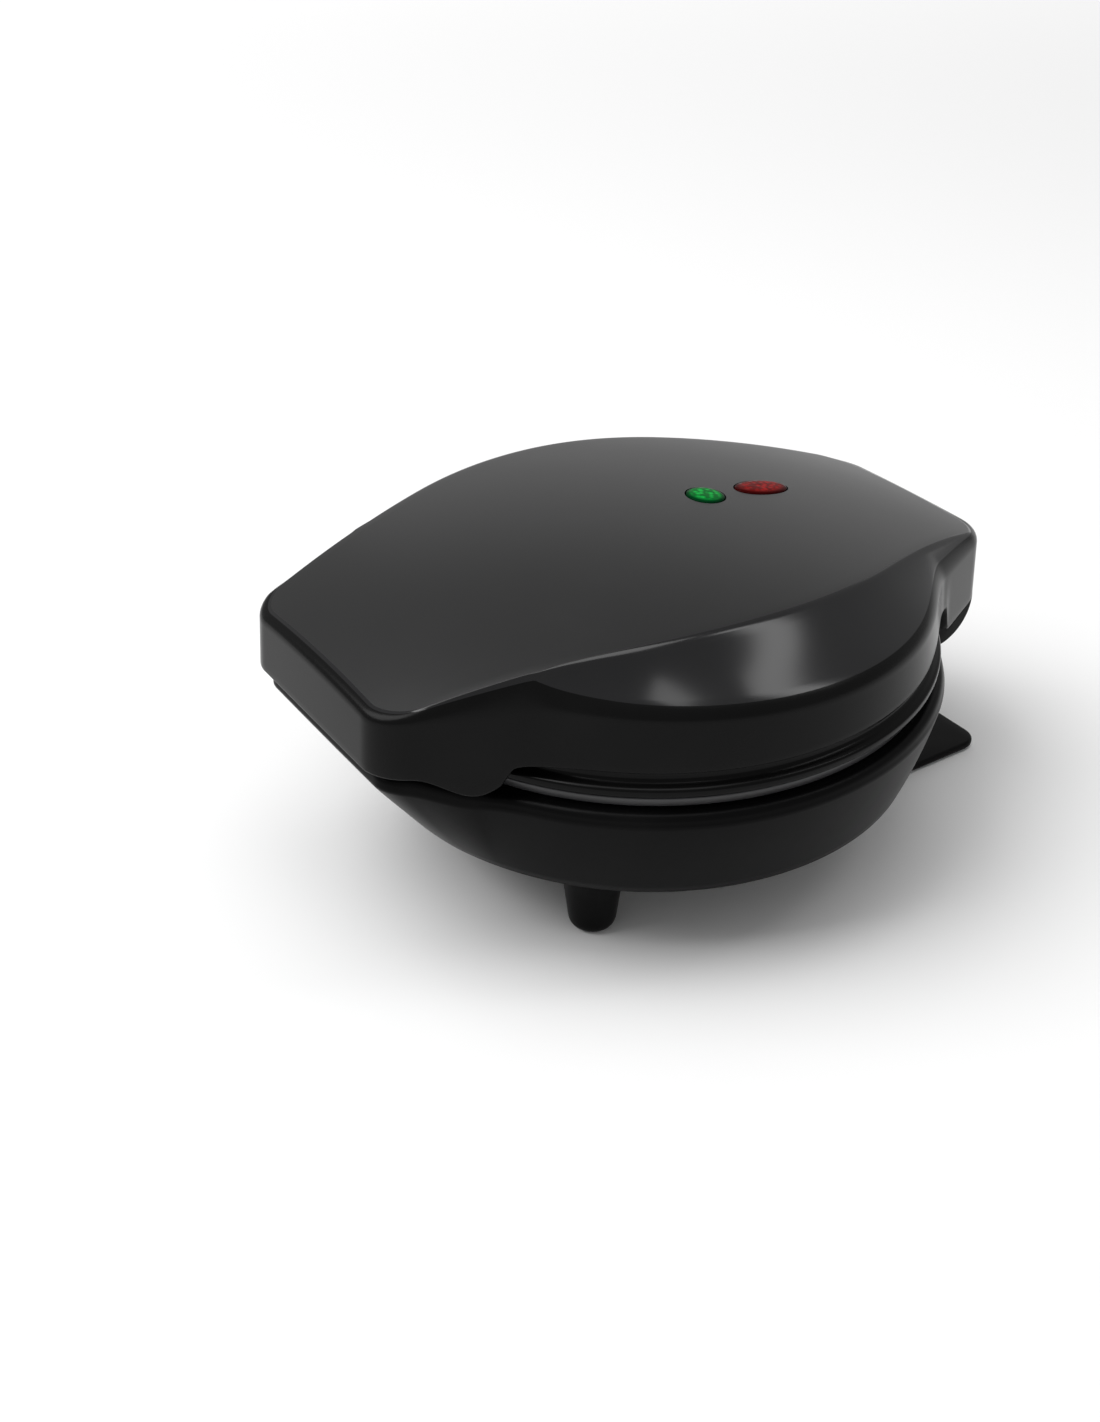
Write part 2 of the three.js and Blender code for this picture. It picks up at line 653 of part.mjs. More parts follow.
function panScrew([x, y], seat, up, length) {
  const points = [
    [0, -screw.headHeight], [2.4, -screw.headHeight], [screw.head, -1], [screw.head, 0],
    [screw.shank, 0], [screw.shank, length], [0, length],
  ];
  const made = turned(points, 8);
  return (up ? made : upsideDown(made)).translate([x, y, seat]);
}

function sunkScrew([x, y], seat, length) {
  const points = [[0, 0], [3, 0], [screw.shank, 1.3], [screw.shank, length], [0, length]];
  return turned(points, 8).translate([x, y, seat]);
}

function lensPiece(y, halfWidth, halfLength) {
  const flange = 1 + lens.flange / halfWidth;
  const deep = -wall - 1.4;
  const points = [
    [0, deep - 1.5], [flange, deep - 1.5], [flange, deep], [1, deep], [1, 0.2],
    [0.82, 0.2 + lens.proud * 0.5], [0.45, 0.2 + lens.proud * 0.9], [0, 0.2 + lens.proud],
  ];
  return lensSolid(points, y, halfWidth, halfLength);
}

function lamp(y) {
  const low = holderTop - 3.5;
  const points = [[0, low], [2.5, low], [2.5, low + 13], [1.4, low + 15], [0, low + 15.6]];
  return turned(points, 12).translate([0, y, 0]);
}

function lampHolder() {
  const body = block(-9, 9, lampY - 5, lens.redY + 10, holderTop - 2.4, holderTop);
  const holes = [lens.greenY, lens.redY].map((y) => bar(2.5 + gap, 0, 150, [0, y], 'z', 16));
  return cut(body, ...holes, bar(screw.clearance, 0, 150, [0, lampY], 'z', 12));
}

function hingePin(side) {
  const [low, high] = [hinge.lugInner - 0.7, hinge.earOuter + gap];
  const shaft = bar(hinge.pinRadius, low, high, [axisY, axisZ], 'x', 16);
  const head = bar(4.4, high, high + 1.4, [axisY, axisZ], 'x', 16);
  const pin = join(shaft, head);
  return side > 0 ? pin : pin.mirror([1, 0, 0]);
}

// ---------------------------------------------------------------- the object

const finishes = {
  gloss: { color: 0x18181b, roughness: 0.22, metalness: 0 },
  satin: { color: 0x1c1c1e, roughness: 0.4, metalness: 0 },
  rubber: { color: 0x101010, roughness: 0.85, metalness: 0 },
  castCoated: { color: 0x2b2b2e, roughness: 0.55, metalness: 0.4 },
  steel: { color: 0x9a9ca0, roughness: 0.35, metalness: 1 },
  aluminium: { color: 0xc0c2c6, roughness: 0.4, metalness: 1 },
  ceramic: { color: 0xe6e2d8, roughness: 0.6, metalness: 0 },
  greenLens: { color: 0x149a45, roughness: 0.15, metalness: 0 },
  redLens: { color: 0xb3201f, roughness: 0.15, metalness: 0 },
  glass: { color: 0xe8dcc8, roughness: 0.1, metalness: 0 },
  insulation: { color: 0xd8d2c4, roughness: 0.9, metalness: 0 },
};

const donutMaker = new THREE.Group();
const basePieces = new THREE.Group();
const lidPieces = new THREE.Group();
donutMaker.add(basePieces, lidPieces);

function piece(group, name, shape, finish) {
  const mesh = new THREE.Mesh(geometryOf(shape), new THREE.MeshStandardMaterial(finishes[finish]));
  mesh.name = name;
  group.add(mesh);
}

const sides = [['left', -1], ['right', 1]];
const lowerPins = lowerFace - elementDepth - 14.5;
const upperPins = upperFace + elementDepth + 11;
const [pinX, pinY] = polar(element.ring, 90 - element.opening);

// base
piece(basePieces, 'base_housing', baseHousing(), 'satin');
piece(basePieces, 'bottom_cover', bottomCover(), 'satin');
piece(basePieces, 'rear_stand', rearStand(), 'satin');
const lowerPlate = cookingPlate(plateRadius, shieldGap - gap, 270);
piece(basePieces, 'lower_cooking_plate', lowerPlate.translate([0, 0, lowerFace]), 'castCoated');
piece(basePieces, 'lower_heating_element', heater(lowerFace - elementDepth, -1, 90, 14.5), 'steel');
piece(basePieces, 'lower_heat_shield', lowerHeatShield(), 'aluminium');
piece(basePieces, 'thermal_fuse', bar(3, -8, 8, [-40, lowerShield - sheet - gap - 3], 'x', 12), 'insulation');
piece(basePieces, 'terminal_block', terminalBlock(), 'ceramic');
piece(basePieces, 'cord_gland', cordGland(), 'rubber');
for (const [side, sign] of sides) {
  const wireX = sign * pinX;
  const wire = [
    [sign * 10, blockY - 8.3, coverTop + 6], [sign * 10, blockY - 14, coverTop + 5],
    [wireX, pinY + 8, coverTop + 3], [wireX, pinY, (coverTop + lowerPins) / 2],
    [wireX, pinY, lowerPins - gap],
  ];
  piece(basePieces, 'front_foot_' + side, frontFoot(sign), 'satin');
  piece(basePieces, 'foot_pad_' + side, bar(foot.padRadius, 0, foot.padHeight, footPlace(sign)), 'rubber');
  piece(basePieces, 'foot_screw_' + side, panScrew(footPlace(sign), coverTop + gap, false, 14), 'steel');
  const standPadPlace = [sign * standPadX, standRear - stand.padInset];
  piece(basePieces, 'stand_pad_' + side, bar(foot.padRadius, 0, 1.7, standPadPlace), 'rubber');
  const standScrew = panScrew([sign * standScrewX, neckY], coverTop + gap, false, 10);
  piece(basePieces, 'stand_screw_' + side, standScrew, 'steel');
  piece(basePieces, 'hinge_pin_' + side, hingePin(sign), 'steel');
  piece(basePieces, 'base_wire_' + side, tube(wire, 1.5, 16, 6), 'insulation');
}
const coverScrewLength = postTop - base.underside - 6.6; // ends short of the bore in the post
coverScrewAngles.forEach((degrees, i) => {
  const made = panScrew(polar(coverScrewCircle, degrees), base.underside - 0.1, true, coverScrewLength);
  piece(basePieces, 'cover_screw_' + (i + 1), made, 'steel');
});
plateScrewAngles.forEach((degrees, i) => {
  const made = panScrew(polar(bossCircle, degrees), lowerShield - sheet - gap, true, 9);
  piece(basePieces, 'lower_plate_screw_' + (i + 1), made, 'steel');
});
const baseSleeve = [
  [sleeveX + 10, bodyRadius - 25, coverTop + 5], [sleeveX + 8, bodyRadius - 17, coverTop + 8],
  [sleeveX + 2, bodyRadius - 9.6, sleeveZ - 7], [sleeveX, bodyRadius - 7, sleeveZ - 0.4],
  [sleeveX, bodyRadius - 2, sleeveZ], [sleeveX, axisY - 3.8, sleeveZ],
];
piece(basePieces, 'base_wire_sleeve', tube(baseSleeve, sleeving.radius, 16, 8), 'insulation');

// lid
piece(lidPieces, 'lid_cover', lidCover(), 'gloss');
piece(lidPieces, 'lid_rim', lidRim(), 'satin');
const upperPlate = upsideDown(cookingPlate(rimInner - 0.6, shieldGap, 270));
piece(lidPieces, 'upper_cooking_plate', upperPlate.translate([0, 0, upperFace]), 'castCoated');
piece(lidPieces, 'upper_heating_element', heater(upperFace + elementDepth, 1, 180, 11), 'steel');
piece(lidPieces, 'upper_heat_shield', upperHeatShield(), 'aluminium');
const sensorZ = upperFace + backDepth + 2 + gap;
piece(lidPieces, 'thermostat', bar(sensorRadius, sensorZ, sensorZ + 8, polar(sensorCircle, 270)), 'ceramic');
piece(lidPieces, 'green_lens', lensPiece(lens.greenY, lens.greenRadius, lens.greenRadius), 'greenLens');
piece(lidPieces, 'red_lens', lensPiece(lens.redY, lens.redWidth, lens.redLength), 'redLens');
piece(lidPieces, 'green_lamp', lamp(lens.greenY), 'glass');
piece(lidPieces, 'red_lamp', lamp(lens.redY), 'glass');
piece(lidPieces, 'lamp_holder', lampHolder(), 'satin');
piece(lidPieces, 'lamp_holder_screw', panScrew([0, lampY], holderTop - 2.7, true, 9), 'steel');
rimScrewAngles.forEach((degrees, i) => {
  const made = sunkScrew(polar(rimBossCircle, degrees), upperFace + plate.thickness + gap + 0.1, 12);
  piece(lidPieces, 'lid_rim_screw_' + (i + 1), made, 'steel');
});
plateScrewAngles.forEach((degrees, i) => {
  const made = panScrew(polar(bossCircle, degrees), upperShield + sheet + gap, false, 9);
  piece(lidPieces, 'upper_plate_screw_' + (i + 1), made, 'steel');
});
const overShield = (y) => (upperShield + sheet + archAt(y) - wall) / 2; // between the shield and the lid
const lidSleeve = [
  [sleeveX, axisY, axisZ + 4.4], [sleeveX, axisY, axisZ + 12], [sleeveX, axisY - 3, axisZ + 22],
  [sleeveX, axisY - 12, overShield(axisY - 12)], [sleeveX, axisY - 26, upperShield + 5],
  [sleeveX, axisY - 46, upperShield + 5],
];
piece(lidPieces, 'lid_wire_sleeve', tube(lidSleeve, sleeving.radius, 16, 8), 'insulation');
const feed = [
  [sleeveX - 1, axisY - 48.6, upperShield + 5], [sleeveX - 6, axisY - 52, upperShield + 3.3],
  [-24, 36, upperShield + 3.3], [-pinY, 18, upperPins + 3], [-pinY, pinX, upperPins + 5],
  [-pinY, pinX, upperPins + gap],
];
piece(lidPieces, 'lid_wire_feed', tube(feed, sleeving.single, 20, 6), 'insulation');
const link = [
  [-pinY, -pinX, upperPins + gap], [-pinY, -pinX, upperPins + 4], [-24, -20, upperPins + 6],
  [-10, -36, sensorZ + 13], [-3, -sensorCircle, sensorZ + 11], [-3, -sensorCircle, sensorZ + 8 + gap],
];
piece(lidPieces, 'lid_wire_link', tube(link, sleeving.single, 20, 6), 'insulation');

export default donutMaker;
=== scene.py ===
# Donut maker for seven small rings: studio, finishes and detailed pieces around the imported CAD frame.
# Lengths in the dictionaries are millimetres, and mm turns them into Blender's metres.

import json
import math

import bmesh
import bpy
from mathutils import Matrix, Vector


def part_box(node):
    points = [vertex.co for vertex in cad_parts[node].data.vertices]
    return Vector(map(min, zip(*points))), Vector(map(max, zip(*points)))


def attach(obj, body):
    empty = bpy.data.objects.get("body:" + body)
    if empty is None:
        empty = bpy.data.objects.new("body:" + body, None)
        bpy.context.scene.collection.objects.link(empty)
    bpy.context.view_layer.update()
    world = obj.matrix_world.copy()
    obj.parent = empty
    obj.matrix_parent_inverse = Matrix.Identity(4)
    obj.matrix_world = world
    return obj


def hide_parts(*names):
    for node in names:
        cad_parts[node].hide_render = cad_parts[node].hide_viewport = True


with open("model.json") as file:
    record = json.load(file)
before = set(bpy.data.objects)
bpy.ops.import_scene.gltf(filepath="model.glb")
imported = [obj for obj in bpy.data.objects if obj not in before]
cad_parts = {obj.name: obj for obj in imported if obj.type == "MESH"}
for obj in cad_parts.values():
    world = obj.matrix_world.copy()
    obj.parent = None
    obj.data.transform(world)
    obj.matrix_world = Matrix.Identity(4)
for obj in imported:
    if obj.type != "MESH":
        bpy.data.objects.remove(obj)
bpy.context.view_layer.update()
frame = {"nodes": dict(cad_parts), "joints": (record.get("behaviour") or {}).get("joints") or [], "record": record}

mm = 0.001


def boxOf(node):  # lowest and highest corner of a CAD node, in millimetres
    low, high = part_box(node)
    return Vector(low) / mm, Vector(high) / mm


lidLow, lidHigh = boxOf("lid_cover")
housingLow, housingHigh = boxOf("base_housing")
hingeAxis = Vector(frame["joints"][0]["pos_m"]) / mm
hingeLine = (hingeAxis.y, hingeAxis.z)
bodyRadius = housingHigh.x
underside = housingLow.z
handleEnd = -lidLow.y
tailEnd = lidHigh.y
lowerFace = boxOf("lower_cooking_plate")[1].z
upperFace = boxOf("upper_cooking_plate")[0].z
plateRadius = boxOf("lower_cooking_plate")[1].x
lipBottom = boxOf("lid_rim")[0].z
print("frame loaded, body radius", round(bodyRadius, 1), "mm")


# Working helpers

def startFresh():
    if bpy.context.object and bpy.context.object.mode != "OBJECT":
        bpy.ops.object.mode_set(mode="OBJECT")
    bpy.ops.object.select_all(action="DESELECT")


def pick(piece):
    startFresh()
    piece.select_set(True)
    bpy.context.view_layer.objects.active = piece


def applyAll(piece):
    pick(piece)
    for modifier in list(piece.modifiers):
        bpy.ops.object.modifier_apply(modifier=modifier.name)
    bpy.ops.object.transform_apply(location=True, rotation=True, scale=True)
    return piece


def smooth(piece, degrees=32):
    pick(piece)
    bpy.ops.object.shade_smooth_by_angle(angle=math.radians(degrees))
    return piece


def roundEdges(piece, width, steps=3, degrees=40):
    bevel = piece.modifiers.new("roundEdges", "BEVEL")
    bevel.width = width * mm
    bevel.segments = steps
    bevel.limit_method = "ANGLE"
    bevel.angle_limit = math.radians(degrees)
    bevel.use_clamp_overlap = True
    return applyAll(piece)


def combine(piece, tool, operation="DIFFERENCE", crossing=False):
    cut = piece.modifiers.new("combine", "BOOLEAN")
    cut.operation = operation
    cut.solver = "EXACT"
    cut.use_self = crossing
    cut.object = tool
    applyAll(piece)
    bpy.data.objects.remove(tool)
    return piece


def joinAll(pieces):
    startFresh()
    for piece in pieces:
        piece.select_set(True)
    bpy.context.view_layer.objects.active = pieces[0]
    bpy.ops.object.join()
    return bpy.context.object


# A turned piece: a circle extruded from ring to ring, each ring a (radius, height) pair.
def turned(name, rings, sides=64, at=(0, 0), loop=False):
    startFresh()
    radius, height = rings[0]
    place = Vector((at[0], at[1], height)) * mm
    bpy.ops.mesh.primitive_circle_add(vertices=sides, radius=radius * mm, location=place)
    piece = bpy.context.object
    piece.name = name
    bpy.ops.object.mode_set(mode="EDIT")
    for nextRadius, nextHeight in rings[1:]:
        bpy.ops.mesh.extrude_region_move(
            TRANSFORM_OT_translate={"value": (0, 0, (nextHeight - height) * mm)})
        share = nextRadius / radius
        if abs(share - 1) > 1e-6:
            centre = Vector((at[0], at[1], nextHeight)) * mm
            bpy.ops.transform.resize(value=(share, share, 1), center_override=centre)
        radius, height = nextRadius, nextHeight
    bpy.ops.mesh.select_all(action="SELECT")
    if loop:
        bpy.ops.mesh.remove_doubles(threshold=1e-6)
    else:
        bpy.ops.mesh.fill_holes(sides=0)
    bpy.ops.mesh.normals_make_consistent(inside=False)
    bpy.ops.object.mode_set(mode="OBJECT")
    return applyAll(piece)


def bar(name, radius, low, high, at=(0, 0), along="Z", sides=32):
    piece = turned(name, [(radius, low), (radius, high)], sides)
    turn = {
        "Z": Matrix.Identity(4),
        "Y": Matrix(((1, 0, 0, 0), (0, 0, 1, 0), (0, -1, 0, 0), (0, 0, 0, 1))),
        "X": Matrix(((0, 0, 1, 0), (1, 0, 0, 0), (0, 1, 0, 0), (0, 0, 0, 1))),
    }[along]
    piece.data.transform(turn)
    shift = {"Z": (at[0], at[1], 0), "Y": (at[0], 0, at[1]), "X": (0, at[0], at[1])}[along]
    piece.data.transform(Matrix.Translation(Vector(shift) * mm))
    return piece


def block(name, low, high):
    startFresh()
    low, high = Vector(low), Vector(high)
    bpy.ops.mesh.primitive_cube_add(size=1, location=(low + high) / 2 * mm, scale=(high - low) * mm)
    piece = bpy.context.object
    piece.name = name
    return applyAll(piece)


def roundUprights(piece, width, steps):  # rounds the edges that run straight up
    pick(piece)
    bpy.ops.object.mode_set(mode="EDIT")
    bpy.ops.mesh.select_mode(type="EDGE")
    bpy.ops.mesh.select_all(action="DESELECT")
    bpy.ops.object.mode_set(mode="OBJECT")
    points = piece.data.vertices
    for edge in piece.data.edges:
        a, b = (points[k].co for k in edge.vertices)
        edge.select = (a.xy - b.xy).length < 1e-6
    bpy.ops.object.mode_set(mode="EDIT")
    bpy.ops.mesh.bevel(offset=width * mm, segments=steps)
    bpy.ops.object.mode_set(mode="OBJECT")
    return piece


def polar(radius, degrees):
    angle = math.radians(degrees)
    return radius * math.cos(angle), radius * math.sin(angle)


# Plan outlines of the body

plan = {
    "lidInset": 4.9,          # lid wall inside the base's widest line
    "creaseWidth": 73.1,      # half width of the top panel
    "handleHalf": 44.3, "handleSlope": 0.334, "handleNarrow": 0.3, "handleBend": 0.003,
    "tailHalf": 38.5, "tailSlope": 0.485, "tailBend": 0.0036, "tailStraight": 52,
    "corner": 11, "edge": 4.2, "sweep": 10,
    "gripHalf": 40, "gripInset": 3.3, "gripCorner": 6,
}
lidRadius = bodyRadius - plan["lidInset"]


def smoothMax(a, b, reach):
    reach = max(reach, 0.01)
    near = max(reach - abs(a - b), 0) / reach
    return max(a, b) + near * near * reach / 4


def smoothStep(t):
    t = min(max(t, 0), 1)
    return t * t * (3 - 2 * t)


def roundHalf(radius, y):
    return math.sqrt(max(radius * radius - y * y, 0))


def cornerLoss(fromEnd, radius):
    into = min(max(radius - fromEnd, 0), radius)
    return radius - math.sqrt(radius * radius - into * into)


def panelHalf(y):
    front = y < 0
    bend = plan["handleBend"] if front else plan["tailBend"]
    straight = plan["handleNarrow"] / (2 * bend) if front else plan["tailStraight"]
    fromEnd = (handleEnd + y if front else tailEnd - y) - plan["edge"]
    if fromEnd < 0:
        return 0
    curved = min(abs(y), straight)
    loss = cornerLoss(fromEnd, plan["corner"] - plan["edge"])
    return plan["creaseWidth"] - bend * curved * (2 * abs(y) - curved) - loss


def lidHalf(y):
    front = y < 0
    fromEnd = handleEnd + y if front else tailEnd - y
    if fromEnd < 0:
        return 0
    half, slope = ("handleHalf", "handleSlope") if front else ("tailHalf", "tailSlope")
    straight = plan[half] + plan[slope] * fromEnd - cornerLoss(fromEnd, plan["corner"])
    return smoothMax(roundHalf(lidRadius, y), straight, plan["sweep"] * smoothStep(abs(y) / 50))


def baseHalf(y):
    fromEnd = handleEnd - plan["gripInset"] + y
    if y >= 0:
        return roundHalf(bodyRadius, y)
    if fromEnd < 0:
        return 0
    straight = plan["gripHalf"] + plan["handleSlope"] * fromEnd - cornerLoss(fromEnd, plan["gripCorner"])
    return smoothMax(roundHalf(bodyRadius, y), straight, plan["sweep"])


def reachOf(half, angle):  # from the middle out to an outline
    inside, outside = 0, 2 * handleEnd
    for _ in range(30):
        r = (inside + outside) / 2
        if r * abs(math.cos(angle)) < half(r * math.sin(angle)):
            inside = r
        else:
            outside = r
    return inside


def evenTurns(half, count):  # directions that stand evenly along an outline
    fine = [2 * math.pi * k / 1440 for k in range(1441)]
    corners = [Vector((reachOf(half, a) * math.cos(a), reachOf(half, a) * math.sin(a))) for a in fine]
    walked = [0]
    for a, b in zip(corners, corners[1:]):
        walked.append(walked[-1] + (b - a).length)
    turns, k = [], 0
    for step in range(count):
        goal = walked[-1] * step / count
        while walked[k + 1] < goal:
            k += 1
        turns.append(fine[k] + (fine[k + 1] - fine[k]) * (goal - walked[k]) / (walked[k + 1] - walked[k]))
    return turns


# A closed skin whose (radius, height) profile changes from one direction to the next.
def skinned(name, profileAt, turns):
    shape = bmesh.new()
    poles = {}
    columns = []
    for angle in turns:
        column = []
        for row, (r, z) in enumerate(profileAt(angle)):
            if r == 0:
                if row not in poles:
                    poles[row] = shape.verts.new((0, 0, z * mm))
                column.append(poles[row])
            else:
                column.append(shape.verts.new((r * math.cos(angle) * mm, r * math.sin(angle) * mm, z * mm)))
        columns.append(column)
    for i, column in enumerate(columns):
        beside = columns[(i + 1) % len(columns)]
        for a, b, c, d in zip(column, beside, beside[1:], column[1:]):
            corners = list(dict.fromkeys((a, b, c, d)))
            if len(corners) > 2:
                shape.faces.new(corners)
    bmesh.ops.remove_doubles(shape, verts=shape.verts, dist=1e-6)
    bmesh.ops.recalc_face_normals(shape, faces=shape.faces)
    mesh = bpy.data.meshes.new(name)
    shape.to_mesh(mesh)
    shape.free()
    piece = bpy.data.objects.new(name, mesh)
    bpy.context.collection.objects.link(piece)
    return piece


def curveThrough(start, corner, end, steps):  # points of a rounded corner, both ends left out
    points = []
    for k in range(1, steps):
        t = k / steps
        shares = (1 - t) ** 2, 2 * t * (1 - t), t * t
        points.append(tuple(sum(share * part for share, part in zip(shares, parts))
                            for parts in zip(start, corner, end)))
    return points


# Studio: camera, lights, world and floor

view = {"azimuth": 56.62, "elevation": 32.59, "distance": 569.8, "aim": (14.5, -48.3, 60), "lens": 43.24}


def makeCamera():
    az, el = math.radians(view["azimuth"]), math.radians(view["elevation"])
    away = Vector((math.sin(az) * math.cos(el), -math.cos(az) * math.cos(el), math.sin(el)))
    lens = bpy.data.cameras.new("camera")
    lens.lens = view["lens"]
    lens.sensor_width = 36
    lens.clip_start = 0.01
    camera = bpy.data.objects.new("camera", lens)
    camera.location = (Vector(view["aim"]) + away * view["distance"]) * mm
    camera.rotation_euler = (math.pi / 2 - el, 0, az)
    bpy.context.collection.objects.link(camera)
    bpy.context.scene.camera = camera


# Each light: where it stands, what it looks at, its width and height in metres, its power in watts
lights = {
    "overheadSoftbox": {"at": (0.05, -0.05, 1.5), "to": (0, 0, 0.05), "size": (0.9, 0.7), "power": 4.6},
    "stripSoftbox": {"at": (0.38, 0.69, 1.16), "to": (0.08, 0, 0.1), "size": (0.16, 0.5), "power": 0.85},
    "backSoftbox": {"at": (-1.30, 1.20, 0.70), "to": (0, 0, 0.05), "size": (2.0, 1.0), "power": 1.8},
    "keySoftbox": {"at": (-0.92, -1.59, 2.62), "to": (0, 0, 0), "size": (2.4, 2.4), "power": 84},
}
world = {"seen": 1.0, "around": 0.42}


def makeLights():
    for name, values in lights.items():
        data = bpy.data.lights.new(name, "AREA")
        data.shape = "RECTANGLE"
        data.size, data.size_y = values["size"]
        data.energy = values["power"]
        light = bpy.data.objects.new(name, data)
        light.location = values["at"]
        away = Vector(values["to"]) - Vector(values["at"])
        light.rotation_euler = away.to_track_quat("-Z", "Y").to_euler()
        light.visible_camera = False
        bpy.context.collection.objects.link(light)


def makeWorld():
    sky = bpy.data.worlds.new("studio")
    sky.use_nodes = True
    nodes, links = sky.node_tree.nodes, sky.node_tree.links
    background = nodes["Background"]
    path = nodes.new("ShaderNodeLightPath")
    strength = nodes.new("ShaderNodeMapRange")
    strength.inputs["To Min"].default_value = world["around"]
    strength.inputs["To Max"].default_value = world["seen"]
    links.new(path.outputs["Is Camera Ray"], strength.inputs["Value"])
    links.new(strength.outputs["Result"], background.inputs["Strength"])
    background.inputs["Color"].default_value = (1, 1, 1, 1)
    bpy.context.scene.world = sky
    bpy.context.scene.view_settings.view_transform = "Standard"


makeCamera()
makeWorld()
makeLights()


# Effects that several finishes share

def newGroup(name, inputs, outputs):
    group = bpy.data.node_groups.new(name, "ShaderNodeTree")
    for label, kind, value in inputs:
        socket = group.interface.new_socket(name=label, in_out="INPUT", socket_type="NodeSocket" + kind)
        socket.default_value = value
    for label, kind in outputs:
        group.interface.new_socket(name=label, in_out="OUTPUT", socket_type="NodeSocket" + kind)
    return group, group.nodes.new("NodeGroupInput"), group.nodes.new("NodeGroupOutput")


def feed(tree, socket, value):  # a number is set, an output is linked
    if isinstance(value, (int, float)):
        socket.default_value = value
    else:
        tree.links.new(value, socket)


def objectPlace(tree):
    return tree.nodes.new("ShaderNodeTexCoord").outputs["Object"]


def noiseIn(tree, place, scale, detail=3.0):
    noise = tree.nodes.new("ShaderNodeTexNoise")
    noise.inputs["Detail"].default_value = detail
    tree.links.new(place, noise.inputs["Vector"])
    feed(tree, noise.inputs["Scale"], scale)
    return noise.outputs["Fac"]


def spreadOut(tree, value, low, high, toLow=0.0, toHigh=1.0):
    spread = tree.nodes.new("ShaderNodeMapRange")
    spread.interpolation_type = "SMOOTHSTEP"
    for label, number in (("From Min", low), ("From Max", high), ("To Min", toLow), ("To Max", toHigh)):
        spread.inputs[label].default_value = number
    tree.links.new(value, spread.inputs["Value"])
    return spread.outputs["Result"]


def worked(tree, operation, first, second):
    node = tree.nodes.new("ShaderNodeMath")
    node.operation = operation
    for socket, value in zip(node.inputs, (first, second)):
        feed(tree, socket, value)
    return node.outputs["Value"]


def bumpFrom(tree, height, distance, strength=1.0):
    bump = tree.nodes.new("ShaderNodeBump")
    feed(tree, bump.inputs["Strength"], strength)
    feed(tree, bump.inputs["Distance"], distance)
    tree.links.new(height, bump.inputs["Height"])
    return bump.outputs["Normal"]


def makeEdgeWear():  # a mask of rubbed corners, broken up so that it isn't an even line
    inputs = [("Amount", "Float", 0.5), ("Patch Scale", "Float", 60.0)]
    tree, start, end = newGroup("edgeWear", inputs, [("Mask", "Float")])
    place = objectPlace(tree)
    pointed = tree.nodes.new("ShaderNodeNewGeometry").outputs["Pointiness"]
    edge = spreadOut(tree, pointed, 0.52, 0.62)
    patches = spreadOut(tree, noiseIn(tree, place, start.outputs["Patch Scale"]), 0.35, 0.7)
    mask = worked(tree, "MULTIPLY", worked(tree, "MULTIPLY", edge, patches), start.outputs["Amount"])
    tree.links.new(mask, end.inputs["Mask"])
    return tree


def makeGrain():  # fine moulded or cast texture
    inputs = [("Scale", "Float", 900.0), ("Depth", "Float", 0.00002), ("Strength", "Float", 0.3)]
    tree, start, end = newGroup("grain", inputs, [("Normal", "Vector"), ("Shade", "Float")])
    place = objectPlace(tree)
    fine = noiseIn(tree, place, start.outputs["Scale"], 2.0)
    normal = bumpFrom(tree, fine, start.outputs["Depth"], start.outputs["Strength"])
    tree.links.new(normal, end.inputs["Normal"])
    tree.links.new(fine, end.inputs["Shade"])
    return tree


def makeHandling():  # broad soft changes of gloss, as handling and cleaning leave them
    inputs = [("Roughness", "Float", 0.3), ("Spread", "Float", 0.05), ("Scale", "Float", 22.0)]
    tree, start, end = newGroup("handling", inputs, [("Roughness", "Float"), ("Dust", "Float")])
    place = objectPlace(tree)
    broad = noiseIn(tree, place, start.outputs["Scale"], 4.0)
    centred = worked(tree, "SUBTRACT", broad, 0.5)
    change = worked(tree, "MULTIPLY", centred, start.outputs["Spread"])
    roughness = worked(tree, "ADD", start.outputs["Roughness"], change)
    tree.links.new(roughness, end.inputs["Roughness"])
    tree.links.new(spreadOut(tree, broad, 0.45, 0.8), end.inputs["Dust"])
    return tree


def makeBrushed():  # fine lines round or along worked metal
    inputs = [("Along", "Float", 60.0), ("Across", "Float", 2600.0)]
    tree, start, end = newGroup("brushed", inputs, [("Lines", "Float")])
    place = objectPlace(tree)
    stretch = tree.nodes.new("ShaderNodeCombineXYZ")
    tree.links.new(start.outputs["Across"], stretch.inputs["X"])
    tree.links.new(start.outputs["Along"], stretch.inputs["Y"])
    tree.links.new(start.outputs["Across"], stretch.inputs["Z"])
    scaled = tree.nodes.new("ShaderNodeVectorMath")
    scaled.operation = "MULTIPLY"
    tree.links.new(place, scaled.inputs[0])
    tree.links.new(stretch.outputs["Vector"], scaled.inputs[1])
    tree.links.new(noiseIn(tree, scaled.outputs["Vector"], 1.0, 2.0), end.inputs["Lines"])
    return tree


